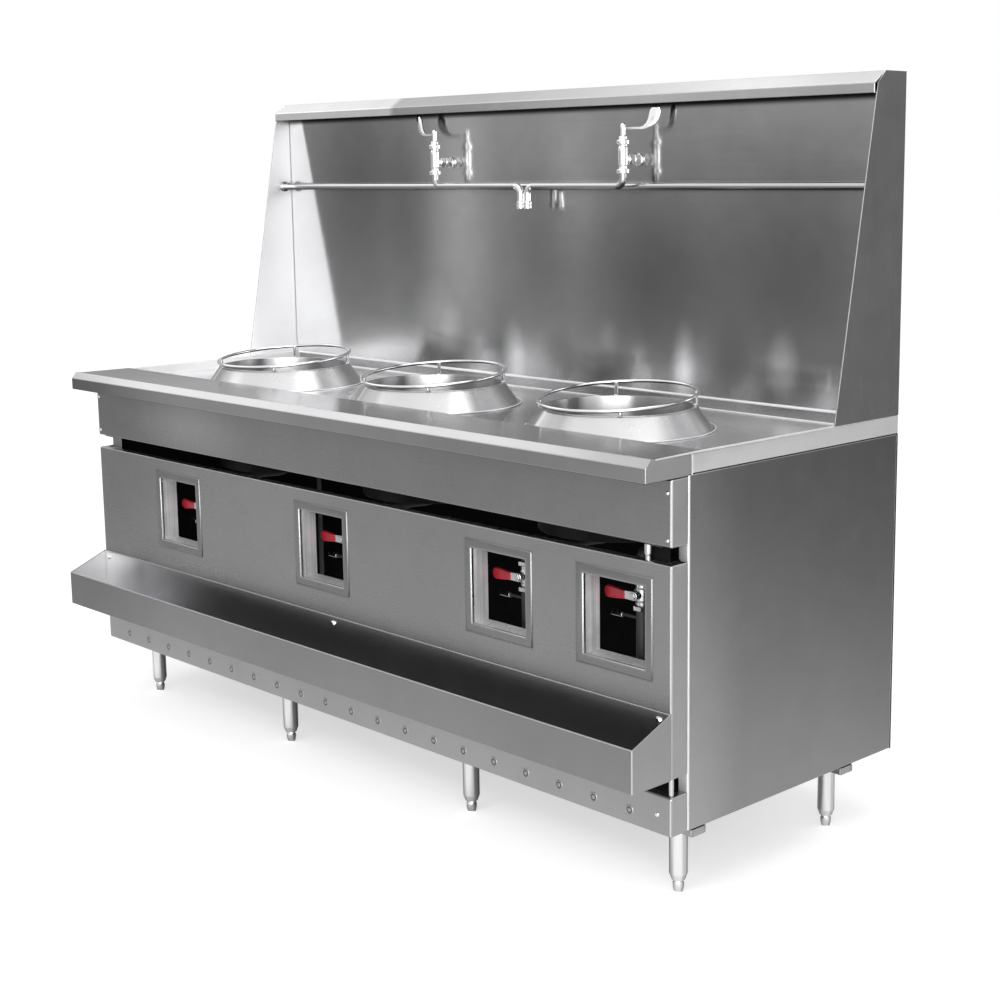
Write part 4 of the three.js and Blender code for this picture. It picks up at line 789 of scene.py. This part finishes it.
VALVE_SKIN = rounded([(12, -24), (14, -22), (14, -16), (16.5, -11), (16.5, 11), (14, 16), (14, 22), (12, 24)], 3, 3)
GLAND = rounded([(8, 0), (9.5, 2), (9.5, 19), (8.2, 21), (8.2, 25), (5.5, 25), (5.5, 13.7), (0.2, 13.7)], 0.8, 2)
for i, (x, z) in enumerate(zip(VALVE_XS, VALVE_ZS), 1):
    at = (x, VALVE_Y, z)
    valve = Form().lathe(VALVE_SKIN, at, 36)
    valve.hexagon(19.5, at, UP, (23, 34), 1.4)
    valve.hexagon(19.5, at, UP, (-34, -23), 1.4)
    tall = z - RISER_FOOT - 24
    valve.lathe([(12.6, 0), (RISER, 0.8), (RISER, tall), (12.6, tall + 1)], (x, VALVE_Y, RISER_FOOT), 28, paint=1)
    # A pilot tapping on the riser: nipple and plug.
    tapping = (x, VALVE_Y, z - 52)
    valve.lathe([(3.4, 12), (3.4, 66), (2.6, 67)], tapping, 16, LEFTWARD, 1)
    valve.hexagon(6.5, tapping, LEFTWARD, (54, 86), 0.8)
    valve.lathe(GLAND, at, 32, FRONTWARD)
    piece(f"ball_valve_{i}", valve, [VALVE, PIPE], f"valve_body_{i}", at)

    plate = VALVE_Y - 26.8
    at = (x, plate, z)
    strap = [(x + u, z + v) for u, v in arc(9.5, -90, 90)] + [(x - 37, z + 7.5), (x - 37, z - 7.5)]
    lever = Form().slab(strap, plate - 1.5, plate + 1.5, 0.4)
    lever.hexagon(8.5, at, FRONTWARD, (0.5, 6.5), 0.7)
    lever.lathe([(4.0, 0), (4.0, 5.2), (3.2, 6.2), (0.2, 6.2)], at, 20, FRONTWARD)
    lever.tube([(x, plate - 1, z), (x, VALVE_Y - 14.2, z)], 5, 20, ends=0.6)
    grip = [(x - 24, z - 8.5), (x - 24, z + 8.5), (x - 45, z + 11), (x - 67, z + 13)]
    grip += [(x - 67 + u, z + v) for u, v in arc(13, 102, 258)]
    grip += [(x - 67, z - 13), (x - 45, z - 11)]
    lever.slab(grip, plate - 4.5, plate + 4.5, 2.2, 1)
    node = f"valve_lever_{i}"
    piece(f"lever_{i}", lever, [VALVE, RED], node, at, node, SOFT, True)

# -------------------- pipe rail and taps

WALL_DISC = rounded([(9.4, -26), (10.8, -25), (10.8, -6), (13, -5), (14.5, -4), (14.5, 0), (9, 0)], 0.9, 3)
rail = Form().tube([(-1070.2, RAIL_Y, RAIL_Z), (1070.2, RAIL_Y, RAIL_Z)], 9.5, 32)
for side in (-1, 1):
    rail.lathe(WALL_DISC, (side * 1071.2, RAIL_Y, RAIL_Z), 40, (side, 0, 0))
piece("rail_bar", rail, [RAIL], "rail_pipe")

# The wrist blade's outline in (along, up), and the points that its faces shrink towards.
BLADE = (
    (0, -2.4), (20, -2.7), (49, -3), (62, -1.6), (75, 2.4), (86, 10), (93.5, 20), (97.4, 32), (98, 40), (97, 46.6),
    (94.6, 50.6), (91, 53.2), (86.6, 53.8), (81.6, 52.4), (76.6, 49.6), (70.6, 41.6), (68, 32), (65.6, 22), (61, 12.6),
    (53.6, 6), (44, 3.2), (20, 2.7), (0, 2.4),
)
BLADE_SPINE = ((56, 2), (70, 8), (80, 20), (84, 36))


def blade_ring(shrink):
    """The blade's outline, drawn in towards its spine."""
    ring = []
    for p in map(Vector, BLADE):
        step = Vector(min(BLADE_SPINE, key=lambda m: (Vector(m) - p).length)) - p
        ring.append(p + step.normalized() * min(shrink, step.length * 0.4))
    return ring


low, mid, high = TAP_FOOT_Z, TAP_INLET_Z, TAP_HEAD_Z
TAP_SKIN = rounded(
    [
        (9.6, low + 11.3), (9.6, low), (15, low), (16, low + 1), (16, low + 9.5), (15, low + 10.5), (10.5, low + 10.5),
        (10.5, mid - 16), (12, mid - 12), (12, mid + 28), (10.5, mid + 31), (10.5, mid + 36), (15, mid + 36),
        (16, mid + 37), (16, mid + 45.5), (15, mid + 46.5), (10.5, mid + 46.5), (10.5, high - 1.5), (9.5, high),
        (5.6, high), (5.6, high - 12.3),
    ],
    0.7, 2,
)
TAP_FLANGE = rounded([(9, 50), (12, 50.4), (15, 52.4), (16, 54.8), (16, 57.2), (9, 57.2)], 0.8, 3)
NOZZLE = rounded(
    [(7.5, 4), (7.5, 0.2), (10.3, 0.2), (11.5, 2), (11.5, 9), (10.8, 10), (11.5, 11), (11.5, 18.4), (9.2, 20)], 0.7, 2
)
foot = TAP_HEAD_Z + 0.3
arm = foot + 17
level = TAP_FOOT_Z - 29.5
HUB = rounded([(5.6, foot), (6.8, foot + 1.2), (6.8, foot + 27), (4.5, foot + 29), (0.2, foot + 29)], 1.0, 3)
for i, (x, turn) in enumerate(zip(TAP_XS, HANDLE_TURNS), 1):
    at = Vector((x, TAP_Y, 0))
    inlet_at = Vector((x, TAP_Y, TAP_INLET_Z))
    tap = Form().lathe(TAP_SKIN, at, 40)
    tap.lathe([(8.4, 0), (9, 6), (9, 57), (8.6, 57)], inlet_at, 32, BACKWARD)
    for start in (14, 33):
        tap.hexagon(14.0, inlet_at, BACKWARD, (start, start + 15), 1.0)
        tap.lathe([(9, -2), (10.6, -1.2), (10.6, 0.6), (9, 1)], inlet_at + Vector((0, start, 0)), 32, BACKWARD)
    tap.lathe(TAP_FLANGE, inlet_at, 48, BACKWARD)
    piece(f"tap_{i}", tap, [CHROME], f"tap_body_{i}", inlet_at)

    handle = Form().lathe(HUB, at, 32)
    handle.tube([at + Vector((0, 0, high - 12)), at + Vector((0, 0, foot + 1))], 5, 20, ends=0.5)
    spin = Matrix.Rotation(math.radians(turn), 3, "Z")
    handle.rings([
        [at + spin @ Vector((u, off, 0)) + Vector((0, 0, arm + v)) for u, v in blade_ring(shrink)]
        for off, shrink in ((-2.25, 1.3), (-1.5, 0.3), (-0.8, 0.0), (0.8, 0.0), (1.5, 0.3), (2.25, 1.3))
    ])
    node = f"tap_handle_{i}"
    piece(f"wrist_blade_{i}", handle, [CHROME], node, (x, TAP_Y, arm), node, SOFT)

    end_x = x + (SPOUT_REACH if x < 0 else -SPOUT_REACH)
    line = [(x, TAP_Y, TAP_FOOT_Z + 11), (x, TAP_Y, level), (end_x, TAP_Y, level), (end_x, TAP_Y, level - 50)]
    bends = pipe_run(line, 20, 10)
    half = len(bends) // 2
    spout = Form().tube(bends[:half + 1], 9, 28, 1, ends=0).tube(bends[half:], 9, 28, 0, ends=0)
    spout.lathe(NOZZLE, (end_x, TAP_Y, level - 57.5), 36)
    node = f"swing_spout_{i}"
    piece(f"spout_{i}", spout, [CHROME, RAIL], node, (x, TAP_Y, level), node, SOFT)

# -------------------- legs and feet

LEG_SKIN = rounded(
    [(6.5, 26), (14, 26), (19.05, 40), (19.05, LEG_TOP - 4), (30, LEG_TOP - 4), (30, LEG_TOP), (1, LEG_TOP)],
    [0, 1.5, 6, 0.6, 1, 1, 0],
)
TOE_SKIN = rounded(
    [(0.2, 0), (9.6, 0), (11.8, 12), (11.8, 19.2), (10.6, 20.7), (10, 25.7), (6, 25.7), (6, 83.7), (0.2, 83.7)],
    [0, 0.8, 2, 0.8, 0.5, 0.3, 0.3, 0.5, 0],
)
for row, y in LEG_ROWS.items():
    for i, x in enumerate(LEG_XS, 1):
        at = (x, y, 0)
        piece(f"leg_tube_{row}_{i}", Form().lathe(LEG_SKIN, at, 40), [POLISH], f"leg_{row}_{i}", at)
        node = f"foot_{row}_{i}"
        piece(f"bullet_{row}_{i}", Form().lathe(TOE_SKIN, at, 32), [POLISH], node, at, node)

# -------------------- screws and marks

APRON_SCREW = rounded([(4.2, 0.0), (4.2, 0.6), (2.6, 2.0), (0.1, 2.3)], 0.5, 3)
KICK_BOLT = rounded([(5, 0), (5, 0.8), (3.2, 2.6), (0.1, 3.0)], 0.6, 3)
MARK_PROFILE = rounded(
    [(11.5, -0.2), (11.5, 0.1), (10.2, 1.0), (8.6, 1.0), (7.4, 0.2), (4.8, 0.2), (3.6, 1.0), (0.1, 1.1)], 0.4, 2
)
MARK_PITCH = 101.3
for i, (x, z) in enumerate(((1062.6, 842), (1062.6, 749), (-1062.6, 842), (-1062.6, 749)), 1):
    at = (x, FACE_Y, z)
    piece(f"apron_screw_{i}", Form().lathe(APRON_SCREW, at, 24, FRONTWARD), [CHROME], origin=at)
for i, x in enumerate((-1054, -8, 1042), 1):
    at = (x, FACE_Y - 1.8, 387)
    head = Form().hexagon(6.5, at, FRONTWARD, (0.6, 4.6), 0.7)
    head.lathe([(8.5, 0.0), (8.5, 0.8), (6.0, 1.1)], at, 28, FRONTWARD)
    piece(f"tray_bolt_{i}", head, [CHROME], origin=at)
at = (1036, FACE_Y, 191)
piece("kick_bolt", Form().lathe(KICK_BOLT, at, 24, FRONTWARD), [CHROME], origin=at)
for i in range(20):
    at = (-964.4 + MARK_PITCH * i, FACE_Y, 180.5)
    mark = Form().lathe(MARK_PROFILE, at, 28, FRONTWARD)
    # A dark ring in the groove: painted shade.
    mark.lathe([(7.8, 0.1), (7.8, 0.4), (4.6, 0.4), (4.6, 0.1)], at, 24, FRONTWARD, 1)
    piece(f"kick_mark_{i + 1}", mark, [KICK, GROOVE_SHADE], origin=at)

# Small parts about the corners.
stud = Form().lathe([(4.2, 233.4), (5, 234), (5, 268.6), (4.2, 269.6)], (1063, FACE_Y + 12, 0), 24)
piece("corner_stud", stud, [VALVE], origin=(1063, FACE_Y + 12, 250))


def strip(x_from, x_to, z_from, z_to):
    """Corners of a rectangle in (x, z)."""
    return [(x_from, z_from), (x_to, z_from), (x_to, z_to), (x_from, z_to)]


gussets, lids = Form(), Form()
for side in (-1, 1):
    gussets.slab(strip(side * 860, side * 1068, 225, 228), FACE_Y + 14, FACE_Y + 140)
    gussets.slab(strip(side * 860, side * 1046, 228, 268), FACE_Y + 100, FACE_Y + 103)
    for y in (FACE_Y + 60.6, BACK_Y - 188.4):
        lids.slab(strip(side * 1069.5, side * 1073, 136.2, 149.6), y, y + 43)
piece("corner_gussets", gussets, [IRON])
piece("channel_ends", lids, [REAR])
post = Form().lathe(rounded([(6, 701.2), (6, 710), (8, 714), (8, 734.6)], 0.8, 2), (1003, FACE_Y + 11, 0), 24)
piece("hanger_post", post, [VALVE], origin=(1003, FACE_Y + 11, 718))
for end, side in (("left", -1), ("right", 1)):
    x, y = side * (SIDE_X - 1.6), LEDGE_Y + 0.75
    # The bead is in the lighter steel that paints light.
    bead = Form().lathe([(0.4, 871), (1.6, 872), (1.6, 911), (0.4, 912.5)], (x, y, 0), 12)
    piece(f"corner_bead_{end}", bead, [STRIP_PAINTED_LIGHT], origin=(x, y, 890))

# -------------------- studio


def seen_rays(tree):
    """1 for camera, glossy and transmission rays, else 0."""
    path = tree.nodes.new("ShaderNodeLightPath")
    total = path.outputs["Is Camera Ray"]
    for name in ("Is Glossy Ray", "Is Transmission Ray"):
        add = tree.nodes.new("ShaderNodeMath")
        add.operation = "MAXIMUM"
        tree.links.new(total, add.inputs[0])
        tree.links.new(path.outputs[name], add.inputs[1])
        total = add.outputs[0]
    return total


def glowing(name, tone, roughness):
    """Paint that mirrors nothing and shines white."""
    return Paint(
        name, 0.0, base_color=(tone, tone, tone, 1), roughness=roughness, specular_ior_level=0.0,
        emission_color=(1, 1, 1, 1),
    )


def floor_white():
    """Matt white that the camera, metal and glass see a little brighter than it is lit."""
    p = glowing("floor_white", 0.86, 0.9)
    fade = p.blend(p.length(p.at), 1.2, 4.0, 0.6, 0.7, smooth=False)
    p.set("Emission Strength", p.product(seen_rays(p.tree), fade))
    return p.mat


def stage_mesh(name, points, faces, material, levels=()):
    """Piece of the studio. One with levels of brightness at its points is seen in reflections only."""
    mesh = bpy.data.meshes.new(name)
    mesh.from_pydata(points, [], faces)
    mesh.materials.append(material)
    obj = bpy.data.objects.new(name, mesh)
    scene.collection.objects.link(obj)
    if levels:
        mesh.attributes.new("level", "FLOAT", "POINT").data.foreach_set("value", levels)
        obj.visible_camera = obj.visible_diffuse = obj.visible_shadow = False


def lamp(name, place, target, size, power):
    light = bpy.data.lights.new(name, "AREA")
    light.shape = "RECTANGLE"
    light.size, light.size_y = size
    light.energy = power
    obj = bpy.data.objects.new(name, light)
    obj.location = place
    obj.rotation_euler = (Vector(target) - Vector(place)).to_track_quat("-Z", "Y").to_euler()
    obj.visible_camera = obj.visible_glossy = False
    scene.collection.objects.link(obj)


def card(name, points, faces, levels):
    """Card of the studio that shines as bright as its levels."""
    p = glowing(name, 0.0, 0.5)
    level = p.node("ShaderNodeAttribute", attribute_name="level")
    p.set("Emission Strength", level.outputs["Fac"])
    stage_mesh(name, points, faces, p.mat, levels)


def grid(across, down):
    """Faces over rows of points."""
    return [
        (j * across + i, j * across + i + 1, (j + 1) * across + i + 1, (j + 1) * across + i)
        for j in range(down - 1)
        for i in range(across - 1)
    ]


def along(stops, azimuth):
    """Value between stops of (azimuth in degrees from +X to +Y, value)."""
    for (a, x), (b, y) in zip(stops, stops[1:]):
        if azimuth <= b:
            return x + (y - x) * (azimuth - a) / (b - a)
    return stops[-1][1]


# How bright the studio is in each direction, and how high its curtain hangs, in metres.
ROOM_LEVEL = (
    (0, 1.0), (12, 0.9), (32, 0.32), (48, 0.2), (66, 0.2), (100, 0.34), (148, 0.5), (182, 0.55), (206, 0.44),
    (219, 0.46), (229, 0.34), (244, 0.45), (262, 0.8), (280, 1.0), (292, 1.3), (304, 4.5), (319, 4.9), (334, 4.5),
    (346, 1.3), (360, 1.0),
)
ROOM_HEIGHT = ((0, 2.4), (100, 2.4), (120, 3.0), (180, 3.0), (200, 2.0), (280, 2.0), (300, 4.4), (340, 4.4), (360, 2.4))


# The ground: half sizes and middle of the shade under the cabinet, its level and those of the ground beside it,
# of the bright pool at the right and at most far away, and how fast they fade.
SHADE_HALF, SHADE_MIDDLE = (1.0, 0.3), 0.055
SHADE_LEVEL, NEAR_LEVEL, POOL_LEVEL, FAR_LEVEL, FADE = 0.15, 0.92, 1.6, 0.5, 1.5


def ground_level(x, y):
    """Dark under the cabinet, light round it, and as dim as the curtain far from it."""
    half_x, half_y = SHADE_HALF
    off = math.hypot(max(abs(x) - half_x, 0), max(abs(y - SHADE_MIDDLE) - half_y, 0))
    if off == 0:
        return SHADE_LEVEL
    corner_azimuth = math.degrees(math.atan2(y + half_y, x - half_x)) % 360
    pool = 270 < corner_azimuth < 358 and x > half_x
    azimuth = math.degrees(math.atan2(y, x)) % 360
    far = POOL_LEVEL if pool else min(along(ROOM_LEVEL, azimuth), FAR_LEVEL)
    return far + (NEAR_LEVEL - far) * math.exp(-off / FADE)


# A curtain of cards all round the studio, and the ground inside it.
CURTAIN_REACH, CURTAIN_STEP, CURTAIN_HEIGHTS = 6.0, 4, (0.0, 0.5, 1.0)
GROUND_STEPS = (
    -6, -5, -4, -3, -2.3, -1.8, -1.5, -1.25, -1.1, -0.95, -0.7, -0.4, -0.2, 0, 0.2, 0.45, 0.7, 0.95, 1.1, 1.25, 1.5,
    1.8, 2.3, 3, 4, 5, 6,
)


def curtain_and_ground():
    turns = range(0, 361, CURTAIN_STEP)
    curtain = [
        (u, v, 0.003 + part * along(ROOM_HEIGHT, a))
        for part in CURTAIN_HEIGHTS
        for a, (u, v) in zip(turns, arc(CURTAIN_REACH, 0, 360, CURTAIN_STEP))
    ]
    levels = [along(ROOM_LEVEL, a) for a in turns]
    card("curtain", curtain, grid(len(turns), len(CURTAIN_HEIGHTS)), levels * len(CURTAIN_HEIGHTS))
    ground = [(x, y, 0.002) for y in GROUND_STEPS for x in GROUND_STEPS]
    steps = len(GROUND_STEPS)
    card("ground", ground, grid(steps, steps), [ground_level(x, y) for x, y, z in ground])


stage_mesh("floor", [(-40, -40, 0), (40, -40, 0), (40, 40, 0), (-40, 40, 0)], [(0, 1, 2, 3)], floor_white())

world = bpy.data.worlds.new("studio")
scene.world = world
world.use_nodes = True
back = world.node_tree.nodes["Background"]
back.inputs["Color"].default_value = (1, 1, 1, 1)
strength = world.node_tree.nodes.new("ShaderNodeMapRange")
strength.inputs["To Min"].default_value = 0.45
strength.inputs["To Max"].default_value = 1.0
world.node_tree.links.new(seen_rays(world.node_tree), strength.inputs["Value"])
world.node_tree.links.new(strength.outputs[0], back.inputs["Strength"])

# The lamps light the object at a plain level; what its steel mirrors is the curtain, ground and canopy.
lamp("key", (1.5, -4.0, 4.2), (0, 0, 0.8), (3.2, 2.2), 80)
lamp("fill", (5.0, -3.6, 2.4), (0, 0, 0.8), (3.0, 2.0), 60)
lamp("top", (-0.5, 0.5, 4.8), (0, 0, 0.9), (3.0, 2.0), 30)
curtain_and_ground()
canopy = [(-5.6, -2.9, 3.3), (-5.4, 1.1, 3.3), (-3.2, 1.1, 5.0), (-3.4, -2.9, 5.0)]
card("canopy", canopy, [(0, 1, 2, 3)], [1.6] * 4)
card("skylight", [(-2.4, 0.15, 5), (2.4, 0.15, 5), (2.4, 1.5, 5), (-2.4, 1.5, 5)], [(0, 1, 2, 3)], [2.8] * 4)

camera = bpy.data.cameras.new("camera")
camera.sensor_width = 36.0
camera.lens = 61.31
camera.shift_x = -0.057
camera.shift_y = -0.0375
camera.clip_end = 200
view = bpy.data.objects.new("camera", camera)
yaw, pitch, roll = (math.radians(d) for d in (45.712, 9.712, -0.568))
ahead = Vector((-math.sin(yaw) * math.cos(pitch), math.cos(yaw) * math.cos(pitch), -math.sin(pitch)))
right = Vector((math.cos(yaw), math.sin(yaw), 0.0))
up = right.cross(ahead)
right, up = right * math.cos(roll) + up * math.sin(roll), up * math.cos(roll) - right * math.sin(roll)
turn = Matrix((right, up, -ahead)).transposed().to_4x4()
view.matrix_world = Matrix.Translation((3.1986, -2.6922, 1.4494)) @ turn
scene.collection.objects.link(view)
scene.camera = view
scene.view_settings.view_transform = "Standard"
